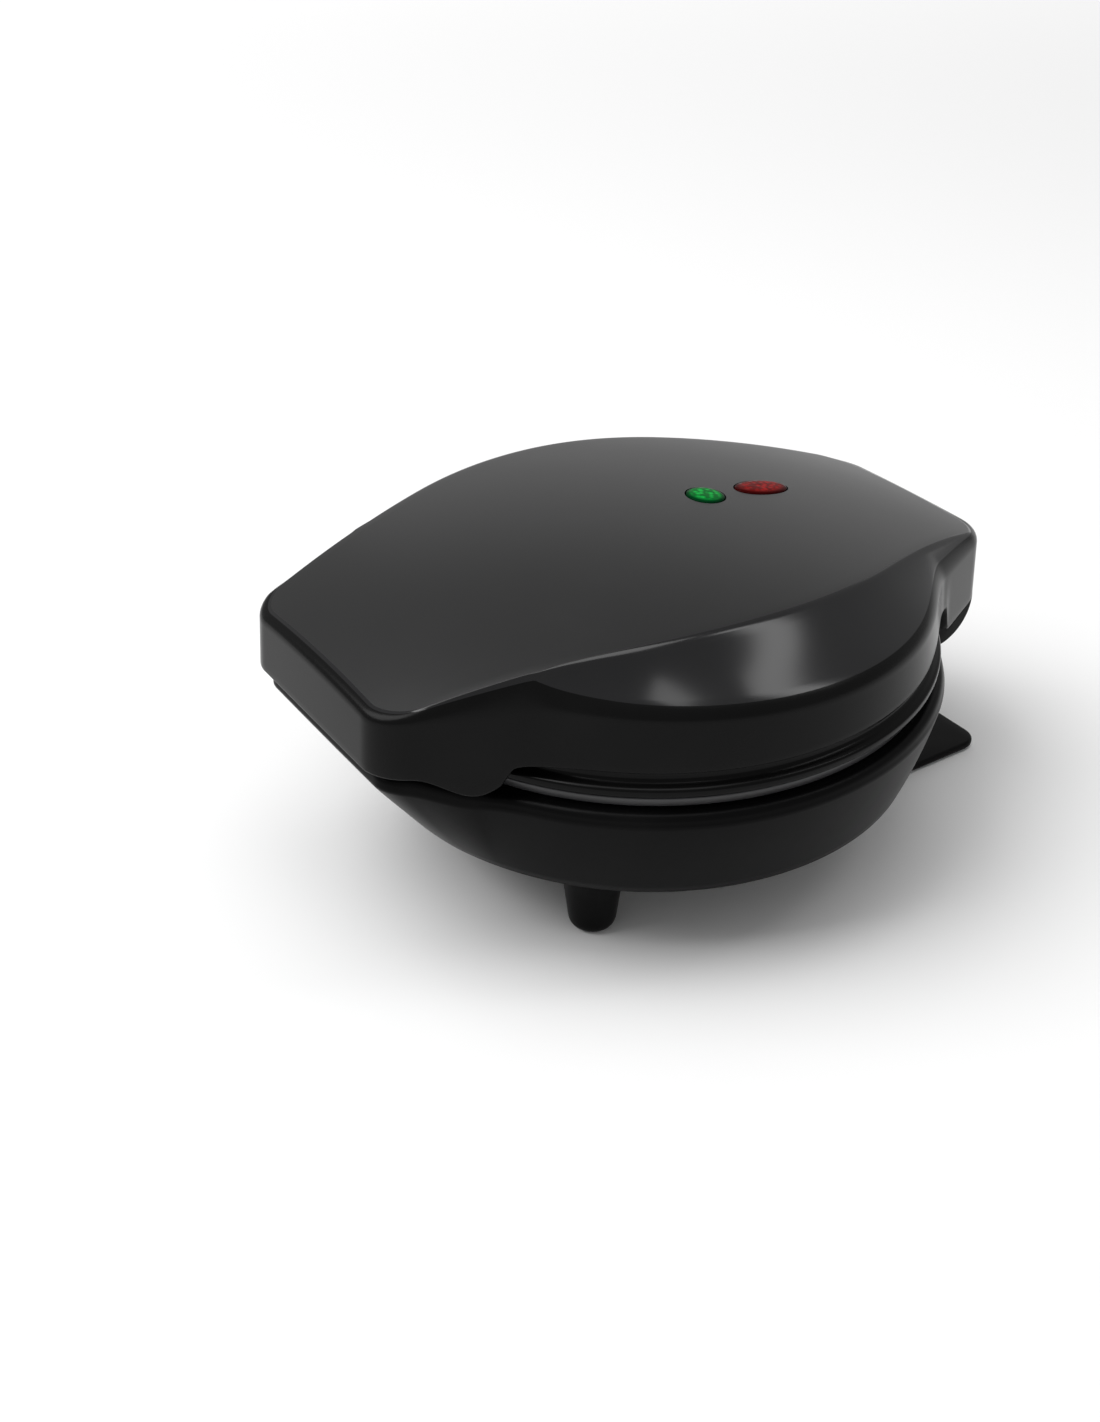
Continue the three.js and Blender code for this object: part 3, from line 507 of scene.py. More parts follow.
def makeBraid():  # two sets of threads that cross
    inputs = [("Scale", "Float", 420.0), ("Depth", "Float", 0.0002)]
    tree, start, end = newGroup("braid", inputs, [("Normal", "Vector"), ("Threads", "Float")])
    place = objectPlace(tree)
    heights = []
    for turn in (0.7, -0.7):
        mapping = tree.nodes.new("ShaderNodeMapping")
        mapping.inputs["Rotation"].default_value = (turn, turn, turn)
        tree.links.new(place, mapping.inputs["Vector"])
        wave = tree.nodes.new("ShaderNodeTexWave")
        tree.links.new(mapping.outputs["Vector"], wave.inputs["Vector"])
        tree.links.new(start.outputs["Scale"], wave.inputs["Scale"])
        heights.append(wave.outputs["Fac"])
    threads = worked(tree, "MAXIMUM", *heights)
    tree.links.new(bumpFrom(tree, threads, start.outputs["Depth"]), end.inputs["Normal"])
    tree.links.new(threads, end.inputs["Threads"])
    return tree


edgeWear, grain, handling = makeEdgeWear(), makeGrain(), makeHandling()
brushed, braid = makeBrushed(), makeBraid()


floorShape = {"size": 12, "shade": 0.88, "roughness": 0.9, "glowFrom": 0.6, "glowTo": 4.0, "glow": 0.6}


def makeFloor():  # pale floor that stays as bright far out as it is under the lights
    startFresh()
    bpy.ops.mesh.primitive_plane_add(size=floorShape["size"], location=(0, 0, 0))
    floor = bpy.context.object
    floor.name = "floor"
    material = bpy.data.materials.new("paleFloor")
    material.use_nodes = True
    tree = material.node_tree
    shader = tree.nodes["Principled BSDF"]
    shader.inputs["Base Color"].default_value = (*[floorShape["shade"]] * 3, 1)
    shader.inputs["Roughness"].default_value = floorShape["roughness"]
    shader.inputs["Specular IOR Level"].default_value = 0.1
    shader.inputs["Emission Color"].default_value = (1, 1, 1, 1)
    length = tree.nodes.new("ShaderNodeVectorMath")
    length.operation = "LENGTH"
    tree.links.new(objectPlace(tree), length.inputs[0])
    glow = spreadOut(tree, length.outputs["Value"], floorShape["glowFrom"], floorShape["glowTo"], 0,
                     floorShape["glow"])
    tree.links.new(glow, shader.inputs["Emission Strength"])
    floor.data.materials.append(material)


makeFloor()
print("studio ready")


# Finishes

def newFinish(name, **plain):
    material = bpy.data.materials.new(name)
    material.use_nodes = True
    shader = material.node_tree.nodes["Principled BSDF"]
    for label, value in plain.items():
        shader.inputs[label.replace("_", " ")].default_value = value
    return material, material.node_tree, shader


def placed(tree, group, **values):
    node = tree.nodes.new("ShaderNodeGroup")
    node.node_tree = group
    for label, value in values.items():
        node.inputs[label.replace("_", " ")].default_value = value
    return node


def mixed(tree, mask, first, second):
    mix = tree.nodes.new("ShaderNodeMix")
    mix.data_type = "RGBA"
    for socket in mix.inputs:
        if socket.name == "A" and socket.type == "RGBA":
            colourA = socket
        if socket.name == "B" and socket.type == "RGBA":
            colourB = socket
    for socket, colour in ((colourA, first), (colourB, second)):
        if isinstance(colour, tuple):
            socket.default_value = (*colour, 1)
        else:
            tree.links.new(colour, socket)
    tree.links.new(mask, mix.inputs["Factor"])
    for socket in mix.outputs:
        if socket.type == "RGBA":
            return socket


# A moulded, cast or pressed finish: two close shades, rubbed edges, grain and uneven gloss.
def madeFinish(name, colour, light, rubbed, roughness, spread=0.06, grainScale=1400.0, grainStrength=0.15,
               grainDepth=0.00003, wear=0.5, smudge=22.0, **plain):
    material, tree, shader = newFinish(name, **plain)
    texture = placed(tree, grain, Scale=grainScale, Strength=grainStrength, Depth=grainDepth)
    worn = placed(tree, edgeWear, Amount=wear)
    gloss = placed(tree, handling, Roughness=roughness, Spread=spread, Scale=smudge)
    shade = mixed(tree, gloss.outputs["Dust"], colour, light)
    tree.links.new(mixed(tree, worn.outputs["Mask"], shade, rubbed), shader.inputs["Base Color"])
    tree.links.new(gloss.outputs["Roughness"], shader.inputs["Roughness"])
    tree.links.new(texture.outputs["Normal"], shader.inputs["Normal"])
    return material


def metalFinish(name, colour, dark, roughness, along=60.0, across=2600.0):
    material, tree, shader = newFinish(name, Metallic=1.0)
    lines = placed(tree, brushed, Along=along, Across=across)
    worn = placed(tree, edgeWear, Amount=0.6)
    gloss = placed(tree, handling, Roughness=roughness, Spread=0.12, Scale=60.0)
    shade = mixed(tree, lines.outputs["Lines"], dark, colour)
    brighter = tuple(min(1.0, part * 1.25) for part in colour)
    tree.links.new(mixed(tree, worn.outputs["Mask"], shade, brighter), shader.inputs["Base Color"])
    tree.links.new(gloss.outputs["Roughness"], shader.inputs["Roughness"])
    tree.links.new(bumpFrom(tree, lines.outputs["Lines"], 0.00003, 0.2), shader.inputs["Normal"])
    return material


def fibreFinish(name, colour, dark):
    material, tree, shader = newFinish(name)
    threads = placed(tree, braid)
    tree.links.new(mixed(tree, threads.outputs["Threads"], dark, colour), shader.inputs["Base Color"])
    gloss = placed(tree, handling, Roughness=0.85, Spread=0.1, Scale=80.0)
    tree.links.new(gloss.outputs["Roughness"], shader.inputs["Roughness"])
    tree.links.new(threads.outputs["Normal"], shader.inputs["Normal"])
    return material


# A moulded signal lens: small prisms inside, painted shade that darkens the colour towards its rim, and painted
# light and shade on the prism cells.
def lensFinish(name, bright, deep, centre, half):
    material, tree, shader = newFinish(name, IOR=1.49, Specular_IOR_Level=0.015)
    place = objectPlace(tree)
    mapping = tree.nodes.new("ShaderNodeMapping")
    mapping.vector_type = "TEXTURE"
    mapping.inputs["Location"].default_value = Vector(centre) * mm
    mapping.inputs["Scale"].default_value = Vector((half[0], half[1], 30)) * mm
    tree.links.new(place, mapping.inputs["Vector"])
    length = tree.nodes.new("ShaderNodeVectorMath")
    length.operation = "LENGTH"
    tree.links.new(mapping.outputs["Vector"], length.inputs[0])
    prisms = tree.nodes.new("ShaderNodeTexVoronoi")
    prisms.inputs["Scale"].default_value = 480.0
    tree.links.new(place, prisms.inputs["Vector"])
    # painted shade: the colour turns to the darker deep colour towards the lens rim
    rim = spreadOut(tree, length.outputs["Value"], 0.5, 0.95)
    # painted light and shade of the prisms: lighter cell middles, darker cell borders
    paintedPrismShade = spreadOut(tree, prisms.outputs["Distance"], 0.15, 0.65, 0.0, 0.75)
    mask = worked(tree, "MAXIMUM", rim, paintedPrismShade)
    tree.links.new(mixed(tree, mask, bright, deep), shader.inputs["Base Color"])
    tree.links.new(bumpFrom(tree, prisms.outputs["Distance"], 0.0003, 0.35), shader.inputs["Normal"])
    gloss = placed(tree, handling, Roughness=0.12, Spread=0.06, Scale=90.0)
    tree.links.new(gloss.outputs["Roughness"], shader.inputs["Roughness"])
    return material


finishes = {
    "satin": madeFinish(
        "satinPlastic", (0.004, 0.004, 0.0042), (0.006, 0.006, 0.0062), (0.03, 0.03, 0.031), 0.34,
        spread=0.05, grainStrength=0.06, Specular_IOR_Level=0.5),
    "polished": madeFinish(
        "polishedPlastic", (0.003, 0.003, 0.0036), (0.005, 0.005, 0.0058), (0.03, 0.03, 0.031), 0.15,
        spread=0.05, grainStrength=0.03, Specular_IOR_Level=0.5),
    "wall": madeFinish(
        "wallPlastic", (0.003, 0.003, 0.003), (0.0045, 0.0045, 0.0045), (0.02, 0.02, 0.02), 0.26,
        spread=0.06, grainStrength=0.08, Specular_IOR_Level=0.1),
    "rim": madeFinish(
        "rimPlastic", (0.002, 0.002, 0.002), (0.003, 0.003, 0.003), (0.02, 0.02, 0.02), 0.2,
        spread=0.05, grainStrength=0.05, Specular_IOR_Level=0.1),
    "body": madeFinish(
        "bodyPlastic", (0.0025, 0.0025, 0.0026), (0.004, 0.004, 0.0041), (0.02, 0.02, 0.02), 0.32,
        spread=0.08, grainStrength=0.12, Specular_IOR_Level=0.06),
    "rubber": madeFinish(
        "padRubber", (0.010, 0.010, 0.010), (0.020, 0.019, 0.018), (0.05, 0.05, 0.05), 0.8,
        grainScale=700.0, grainStrength=0.6, Specular_IOR_Level=0.25),
    "coating": madeFinish(
        "nonStickCoating", (0.030, 0.030, 0.032), (0.050, 0.050, 0.052), (0.20, 0.20, 0.21), 0.34,
        spread=0.14, grainScale=1800.0, grainStrength=0.5, wear=0.35, Specular_IOR_Level=0.6),
    "ceramic": madeFinish(
        "ceramic", (0.72, 0.68, 0.60), (0.62, 0.57, 0.48), (0.85, 0.82, 0.76), 0.6,
        grainScale=1100.0, grainStrength=0.5),
    "steel": metalFinish("screwSteel", (0.52, 0.53, 0.55), (0.36, 0.37, 0.39), 0.30),
    "aluminium": metalFinish("pressedAluminium", (0.74, 0.75, 0.77), (0.56, 0.57, 0.60), 0.34, 30.0, 1500.0),
    "fibre": fibreFinish("glassFibreSleeve", (0.72, 0.68, 0.60), (0.42, 0.39, 0.33)),
}
print("finishes ready:", len(finishes))


def dress(piece, *names):
    piece.data.materials.clear()
    for name in names:
        piece.data.materials.append(finishes[name])


def stand(piece, name, body, slotName, *nodes):  # the piece stands for CAD nodes of the same place
    piece.name = name
    piece.data.name = name
    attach(piece, body)
    if nodes:
        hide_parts(*nodes)
    return piece


# Lid

lidShape = {
    "turns": 520,
    "wall": 2.5,
    "tilt": 0.037, "bend": 0.001373, "crown": 0.001,   # top panel, a tilted arch with a slight crown
    "shoulderDrop": 21.9, "draft": 1.2,                # arch down to the wall, lean of the wall
    "edge": 3.0, "creaseRound": 1.3,                   # rounding of the wall's top and of the crease
    "hollow": 0.5,                                     # sag of the slope between them
    "bottomRound": 0.7, "satinInset": 0.9,             # wall's lower edge, satin ends short of the crease
    "lipHeight": 7.2, "lipFlare": 2.2,
    "skirtHeight": 8.4, "dip": 9.3, "skirtDrop": 4.4,  # end of the handle, lobe beside it, tail
    "lugInner": 20, "lugOuter": 26.5, "lugRadius": 6,
    "pinHole": 2.8, "relief": 17.2, "reliefInner": 27.3, "reliefOuter": 35.7,
}
lidWallBottom = lipBottom + lidShape["lipHeight"]
archPeakY = -lidShape["tilt"] / (2 * lidShape["bend"])


def archAt(y):
    return lidHigh.z - lidShape["bend"] * (y - archPeakY) ** 2


def panelAt(x, y):
    return archAt(y) - lidShape["crown"] * x * x


def skirtBottom(r, y):
    out = smoothStep((r - lidRadius - 5.5) / 3.5)
    along = abs(y + bodyRadius - 5) / 20
    grip = lipBottom + lidShape["skirtHeight"] - lidShape["dip"] * (1 - smoothStep(along))
    level = grip if y < 0 else lipBottom - lidShape["skirtDrop"]
    return lidWallBottom + (level - lidWallBottom) * out


# Reach of the wall and of the crease, height where the slope meets the wall, and fall of the slope.
def lidTurns(angle):
    across, along = math.cos(angle), math.sin(angle)
    r = reachOf(lidHalf, angle)
    wallTop = r - lidShape["draft"]
    crease = min(reachOf(panelHalf, angle), wallTop - lidShape["edge"] - 0.8)
    creaseZ = panelAt(crease * across, crease * along)
    shoulder = min(archAt(0) - lidShape["shoulderDrop"] - lidShape["tilt"] * r * along, creaseZ - 1)
    return r, crease, shoulder, (creaseZ - shoulder) / (wallTop - crease)


def lidProfile(angle):
    edge, wall = lidShape["edge"], lidShape["wall"]
    across, along = math.cos(angle), math.sin(angle)
    r, crease, shoulder, fall = lidTurns(angle)
    wallTop = r - lidShape["draft"]
    creaseZ = panelAt(crease * across, crease * along)
    top = shoulder - edge
    width = wallTop - edge - crease
    rounding = min(lidShape["creaseRound"], 0.45 * width)

    def onPanel(radius):
        return radius, panelAt(radius * across, radius * along)

    def onSlope(t):
        sag = lidShape["hollow"] * min(width / 25, 1) * math.sin(math.pi * t)
        return crease + width * t, creaseZ - width * fall * t - sag

    rows = [onPanel((crease - rounding) * k / 22) for k in range(23)]
    share = rounding / width
    rows += curveThrough(rows[-1], (crease, creaseZ), onSlope(share), 5)
    rows += [onSlope(share + (1 - share) * k / 9) for k in range(10)]
    rows += curveThrough(rows[-1], (wallTop, shoulder), (wallTop, top), 8)
    bottom = skirtBottom(r, r * along)
    lean = [k / 8 for k in range(9)]
    turn = lidShape["bottomRound"]
    rows += [(wallTop + lidShape["draft"] * k, top + (bottom + turn - top) * k) for k in lean]
    rows += curveThrough((r, bottom + turn), (r, bottom), (r - turn, bottom), 4)
    rows += [(r - turn, bottom), (r - wall + 0.3, bottom), (r - wall, bottom + 0.3)]
    innerTop = min(top, creaseZ - wall - 1)
    level = max(lidWallBottom, bottom + 0.4)
    rows += [(r - wall, level)]
    rows += [(r - wall - lidShape["draft"] * k / 4, level + (innerTop - level) * k / 4) for k in range(1, 5)]
    inner = [onPanel((crease - 0.5) * k / 9) for k in range(9, -1, -1)]
    rows += [(radius, z - wall) for radius, z in inner]
    return rows


def lensSeat(y):  # leans with the top panel
    lean = math.atan(-2 * lidShape["bend"] * (y - archPeakY))
    return Matrix.Translation(Vector((0, y, archAt(y))) * mm) @ Matrix.Rotation(lean, 4, "X")


# bright is the lens colour; deep is a darker copy of it, used for the painted shade at the rim and between the
# prisms
lenses = {
    "green_lens": {"y": 25, "half": (6.7, 6.7), "bright": (0.003, 0.34, 0.045), "deep": (0.0, 0.025, 0.006)},
    "red_lens": {"y": 49.7, "half": (6.1, 11), "bright": (0.26, 0.005, 0.004), "deep": (0.03, 0.001, 0.001)},
}
lensShape = {
    "gap": 0.5, "seat": 1.4, "flangeShare": 1.2, "flangeThick": 1.2, "sink": 0.2, "dome": 0.9,
    "fullness": 0.6,
}


def makeLidShell():
    shell = skinned("lidShell", lidProfile, evenTurns(lidHalf, lidShape["turns"]))
    print("lid skin", len(shell.data.vertices))
    for side in (-1, 1):
        inner, outer = sorted((side * lidShape["lugInner"], side * lidShape["lugOuter"]))
        radius = lidShape["lugRadius"]
        lug = bar("lug", radius, inner, outer, hingeLine, "X", 48)
        roof = archAt(hingeAxis.y + radius) - 1.8
        web = block("web", (inner, hingeAxis.y - radius, hingeAxis.z), (outer, hingeAxis.y + radius, roof))
        combine(shell, roundEdges(combine(lug, web, "UNION"), 0.5), "UNION")
        low, high = sorted((side * lidShape["reliefInner"], side * lidShape["reliefOuter"]))
        combine(shell, bar("relief", lidShape["relief"], low, high, hingeLine, "X", 96))
    combine(shell, bar("pinHole", lidShape["pinHole"], -40, 40, hingeLine, "X", 48))
    for values in lenses.values():
        across, along = (half + lensShape["gap"] for half in values["half"])
        hole = turned("lensHole", [(1, -12), (1, 12)], 72)
        hole.data.transform(lensSeat(values["y"]) @ Matrix.Diagonal((across, along, 1, 1)))
        combine(shell, hole)
    dress(shell, "satin", "polished", "wall")
    for face in shell.data.polygons:  # satin panel, polished slope round it, plain wall and inside
        x, y, z = face.center / mm
        reach, (_, crease, shoulder, fall) = math.hypot(x, y), lidTurns(math.atan2(y, x))
        if reach < crease - lidShape["satinInset"]:
            face.material_index = 0 if z > panelAt(x, y) - 1.5 else 2
        else:
            outside = face.normal.z > 0 and z > shoulder + lidShape["edge"] * fall
            face.material_index = 1 if outside else 2
    smooth(shell, 38)
    return stand(shell, "lidShell", "lid", "shell_gloss", "lid_cover")


rimShape = {
    "inset": 3, "clamp": 2.2, "clampHeight": 3.3, "clampThick": 1.7,    # edge that holds the plate
    "round": 0.7, "lipTop": 1.9, "crest": 3.1, "crestInset": 1.2,       # heights are over the lip's bottom
    "neckInset": 1.6, "neckFoot": 5.2, "gap": 0.3,
}


def makeLidRim():
    inner = plateRadius - rimShape["inset"]
    clamp, under = inner - rimShape["clamp"], upperFace + rimShape["clampHeight"]
    over, top = under + rimShape["clampThick"], lidWallBottom - rimShape["gap"]
    lip, turn = lidRadius + lidShape["lipFlare"], rimShape["round"]
    lipTop = (lip, lipBottom + rimShape["lipTop"])
    crest = (lip - rimShape["crestInset"], lipBottom + rimShape["crest"])
    neck, neckFoot = lidRadius - rimShape["neckInset"], lipBottom + rimShape["neckFoot"]
    rings = [(inner, lipBottom), (lip - turn, lipBottom)]
    rings += curveThrough(rings[-1], (lip, lipBottom), (lip, lipBottom + turn), 4)
    rings += [(lip, lipBottom + turn), lipTop] + curveThrough(lipTop, (lip, lipBottom + 2.7), crest, 5)
    rings += [crest] + curveThrough(crest, (neck, lipBottom + 3.7), (neck, neckFoot), 6)
    rings += [(neck, neckFoot), (neck, top), (inner, top), (inner, over), (clamp, over), (clamp, under)]
    rings += [(inner, under), (inner, lipBottom)]
    rim = turned("lidRim", rings, 256, loop=True)
    smooth(rim, 40)
    dress(rim, "rim")
    return stand(rim, "lidRim", "lid", "shell_satin", "lid_rim")


def makeLens(name, values):
    across, along = values["half"]
    deep, flange = -lidShape["wall"] - lensShape["seat"], lensShape["flangeShare"]
    rings = [(flange, deep - lensShape["flangeThick"]), (flange, deep), (1, deep), (1, -lensShape["sink"])]
    for turn in (math.radians(degrees) for degrees in range(8, 88, 8)):  # low dome, full at its rim
        rings.append((math.cos(turn) ** lensShape["fullness"], lensShape["dome"] * math.sin(turn) - 0.1))
    lens = turned(name, rings, 72)
    lens.data.transform(lensSeat(values["y"]) @ Matrix.Diagonal((across, along, 1, 1)))
    smooth(lens, 50)
    centre = (0, values["y"], archAt(values["y"]))
    finishes[name] = lensFinish(name, values["bright"], values["deep"], centre, values["half"])
    dress(lens, name)
    return stand(lens, name.replace("_lens", "Lens"), "lid", name, name)


makeLidShell()
makeLidRim()
for lensName, lensValues in lenses.items():
    makeLens(lensName, lensValues)
print("lid ready")


# Base

baseShape = {
    "turns": 480,
    "draft": 8.8, "bow": 0.7, "shoulder": 4.1, "ledge": 3.9, "skin": 2.6,
    "flare": 10.7, "flareStart": 11,                   # rise of the lower grip towards its end
    "chamfer": 0.8, "lineIn": 0.5, "lineUp": 1.1, "deckIn": 3.8, "cornerIn": 0.9,
    "earInner": 28, "earOuter": 35, "earRadius": 16.5, "earTop": 9.5, "earShoulder": 2,
    "glandHole": 5.3, "sleeveHole": 3.4, "sleeveX": 12,
}
widestHeight = hingeAxis.z
deckHeight = widestHeight + baseShape["shoulder"]
footRing = bodyRadius - baseShape["draft"]
glandZ = boxOf("cord_gland")[0].z / 2 + boxOf("cord_gland")[1].z / 2


def baseProfile(angle):
    r = reachOf(baseHalf, angle)
    y = r * math.sin(angle)
    start = bodyRadius - baseShape["flareStart"]
    rise = baseShape["flare"] * smoothStep((-y - start) / (handleEnd - plan["gripInset"] - start))
    edge, deck = widestHeight + rise, deckHeight + rise

    def wallAt(k, inward=0.0):
        out = footRing + (r - footRing) * k + 4 * baseShape["bow"] * k * (1 - k)
        return out - inward, underside + (edge - underside) * k

    skin, bottomEdge = baseShape["skin"], (footRing - baseShape["chamfer"], underside)
    lineTop, deckEdge = (r - baseShape["lineIn"], edge + baseShape["lineUp"]), (r - baseShape["deckIn"], deck)
    ledge, under = plateRadius - baseShape["ledge"], deckHeight - skin
    rows = [bottomEdge] + [wallAt(0.02 + 0.95 * k / 10) for k in range(11)]
    rows += curveThrough(rows[-1], (r + 0.1, edge), lineTop, 4) + [lineTop]
    rows += curveThrough(rows[-1], (r - baseShape["cornerIn"], deck), deckEdge, 8)
    rows += [deckEdge, (min(r - 4.2, bodyRadius - 0.5), deckHeight), (ledge, deckHeight)]
    rows += [(ledge, under), (min(r - 5, bodyRadius - 1.8), under)]
    rows += [(r - 3.2, edge + 1), wallAt(0.95, skin), wallAt(0.5, skin)]
    rows += [(footRing - skin, underside), bottomEdge]
    return rows


def makeEar(side):
    inner, outer = sorted((side * baseShape["earInner"], side * baseShape["earOuter"]))
    radius, top = baseShape["earRadius"], baseShape["earTop"]
    ear = bar("ear", radius, inner, outer, hingeLine, "X", 96)
    shoulder = hingeAxis.z + baseShape["earShoulder"]
    combine(ear, block("above", (inner - 1, hingeAxis.y - 40, shoulder),
                       (outer + 1, hingeAxis.y + 40, hingeAxis.z + 40)))
    low = (inner, hingeAxis.y - radius + 0.5, hingeAxis.z - radius)
    combine(ear, block("web", low, (outer, hingeAxis.y, shoulder)), "UNION")
    combine(ear, bar("knuckle", top, inner, outer, hingeLine, "X", 64), "UNION")
    return roundEdges(ear, 0.8, 3, 50)


def makeBaseShell():
    shell = skinned("baseShell", baseProfile, evenTurns(baseHalf, baseShape["turns"]))
    for side in (-1, 1):
        combine(shell, makeEar(side), "UNION")
    seat = block("glandSeat", (-9, bodyRadius - 10, glandZ - 8), (9, bodyRadius - 3, glandZ + 8))
    combine(shell, roundEdges(seat, 1.2), "UNION")
    combine(shell, bar("pinHole", lidShape["pinHole"], -60, 60, hingeLine, "X", 48))
    inner, outer = bodyRadius - 20, bodyRadius + 5
    combine(shell, bar("glandHole", baseShape["glandHole"], inner, outer, (0, glandZ), "Y", 48))
    sleeve = (baseShape["sleeveX"], hingeAxis.z - 3.5)
    combine(shell, bar("sleeveHole", baseShape["sleeveHole"], bodyRadius - 12, outer, sleeve, "Y", 32))
    smooth(shell, 40)
    dress(shell, "body")
    return stand(shell, "baseShell", "base", "shell_satin", "base_housing")


makeBaseShell()
print("base ready")


# Cooking plates

mould = {
    "middle": 19, "section": 10, "land": 4, "cast": 2.5, "around": 6,
    "thickness": 3, "edgeRound": 0.9, "rimRound": 0.7,
    "postRadius": 3.5, "postInset": 15.4, "postTurns": (30, 150, 270), "postReach": 2.9, "bore": 1.6,
    "sensorPost": 4, "sensorCircle": 40.5, "sensorReach": 2,
}
pitch = 2 * (mould["middle"] + mould["section"]) + mould["land"]
mouldPlaces = [(0, 0)] + [polar(pitch, 360 * k / mould["around"]) for k in range(mould["around"])]


def mouldTool(at):  # the dough's half ring with a rounded upper edge
    middle, section, edge = mould["middle"], mould["section"], mould["edgeRound"]
    start = math.asin(1.4 * edge / section)
    arc = [start + (math.pi - 2 * start) * k / 22 for k in range(23)]
    rings = [(middle + section * math.cos(a), -section * math.sin(a)) for a in arc]
    outer, inner = middle + section + edge, middle - section - edge
    opening = curveThrough((outer, 0.02), (middle + section, 0), rings[0], 5)
    closing = curveThrough(rings[-1], (middle - section, 0), (inner, 0.02), 5)
    loop = [(outer, 3), (outer, 0.02)] + opening + rings + closing + [(inner, 0.02), (inner, 3), (outer, 3)]
    return turned("mouldTool", loop, 72, at, loop=True)


def mouldBack(at):
    middle, back = mould["middle"], mould["section"] + mould["cast"]
    arc = [math.pi * k / 16 for k in range(17)]
    rings = [(middle + back * math.cos(a), -back * math.sin(a) - 1.2) for a in arc]
    return turned("mouldBack", rings + [rings[0]], 56, at, loop=True)


def makePlate(name, node, radius, body, height, up):
    thick, rim = mould["thickness"], mould["rimRound"]
    rings = [(radius - 0.4, -thick), (radius, 0.4 - thick), (radius, -rim)]
    rings += curveThrough((radius, -rim), (radius, 0), (radius - rim, 0), 4) + [(radius - rim, 0)]
    plate = turned(name, rings, 160)
    deep = -mould["section"] - mould["cast"]
    posts = [polar(radius - mould["postInset"], turn) for turn in mould["postTurns"]]
    backs = [mouldBack(at) for at in mouldPlaces]
    backs += [bar("post", mould["postRadius"], deep - mould["postReach"], -1, at, sides=32) for at in posts]
    sensor = polar(mould["sensorCircle"], 270)
    backs.append(bar("sensorPost", mould["sensorPost"], deep - mould["sensorReach"], -1, sensor, sides=32))
    combine(plate, joinAll(backs), "UNION", crossing=True)
    tools = [mouldTool(at) for at in mouldPlaces]
    tools += [bar("bore", mould["bore"], -40, -4, at, sides=20) for at in posts]
    combine(plate, joinAll(tools))
    if up:
        plate.data.transform(Matrix.Diagonal((1, 1, -1, 1)))
        plate.data.flip_normals()
    plate.data.transform(Matrix.Translation((0, 0, height * mm)))
    smooth(plate, 35)
    dress(plate, "coating")
    return stand(plate, name, body, "coated_plate", node)


makePlate("lowerCookingPlate", "lower_cooking_plate", plateRadius, "base", lowerFace, False)
upperRadius = boxOf("upper_cooking_plate")[1].x
makePlate("upperCookingPlate", "upper_cooking_plate", upperRadius, "lid", upperFace, True)
print("cooking plates ready")


# Feet, stand and bottom cover

screwHoles = {"bore": 1.6, "clearance": 1.9}
footShape = {"taper": 3, "tipRound": 2.6, "tipRise": 4, "padRoom": 0.3, "boreDepth": 13}
padShape = {"round": 0.7, "dish": 1.6, "dishInner": 2.2, "dishDepth": 0.35}
standShape = {
    "neckX": 26, "neckY": 10, "neckRound": 3, "cornerRound": 7.5, "plate": 2.8, "plateRound": 1.1,
    "wall": 3, "hollowRound": 2, "roof": 9, "boreDepth": 8,
}
ventShape = {"count": 5, "step": 9, "width": 3, "front": -22, "back": 12}


def middleOf(node):
    low, high = boxOf(node)
    return tuple(((low + high) / 2).xy)


def makeFoot(side):
    low, high = boxOf("front_foot_" + side)
    padLow, padHigh = boxOf("foot_pad_" + side)
    at = middleOf("front_foot_" + side)
    radius, room = (high.x - low.x) / 2, footShape["padRoom"]
    tip = radius - footShape["taper"]
    start, end = (tip - footShape["tipRound"], low.z), (tip + 0.2, low.z + footShape["tipRise"])
    rings = [start] + curveThrough(start, (tip - 0.2, low.z), end, 7) + [end, (radius, high.z)]
    foot = turned("foot", rings, 72, at)
    combine(foot, bar("padSeat", (padHigh.x - padLow.x) / 2 + room, -1, padHigh.z + room, at, sides=64))
    combine(foot, bar("bore", screwHoles["bore"], high.z - footShape["boreDepth"], high.z + 5, at, sides=24))
    smooth(foot, 35)
    dress(foot, "body")
    return stand(foot, "frontFoot" + side.title(), "base", "shell_satin", "front_foot_" + side)


def makePad(node):
    low, high = boxOf(node)
    radius, edge = (high.x - low.x) / 2, padShape["round"]
    rings = [(radius - padShape["dishInner"], padShape["dishDepth"]), (radius - padShape["dish"], 0)]
    rings += [(radius - edge, 0)] + curveThrough((radius - edge, 0), (radius, 0), (radius, edge), 4)
    rings += [(radius, edge), (radius, high.z)]
    pad = turned("pad", rings, 48, middleOf(node))
    smooth(pad, 35)
    dress(pad, "rubber")
    parts = node.split("_")
    return stand(pad, parts[0] + parts[1].title() + parts[2].title(), "base", "rubber", node)


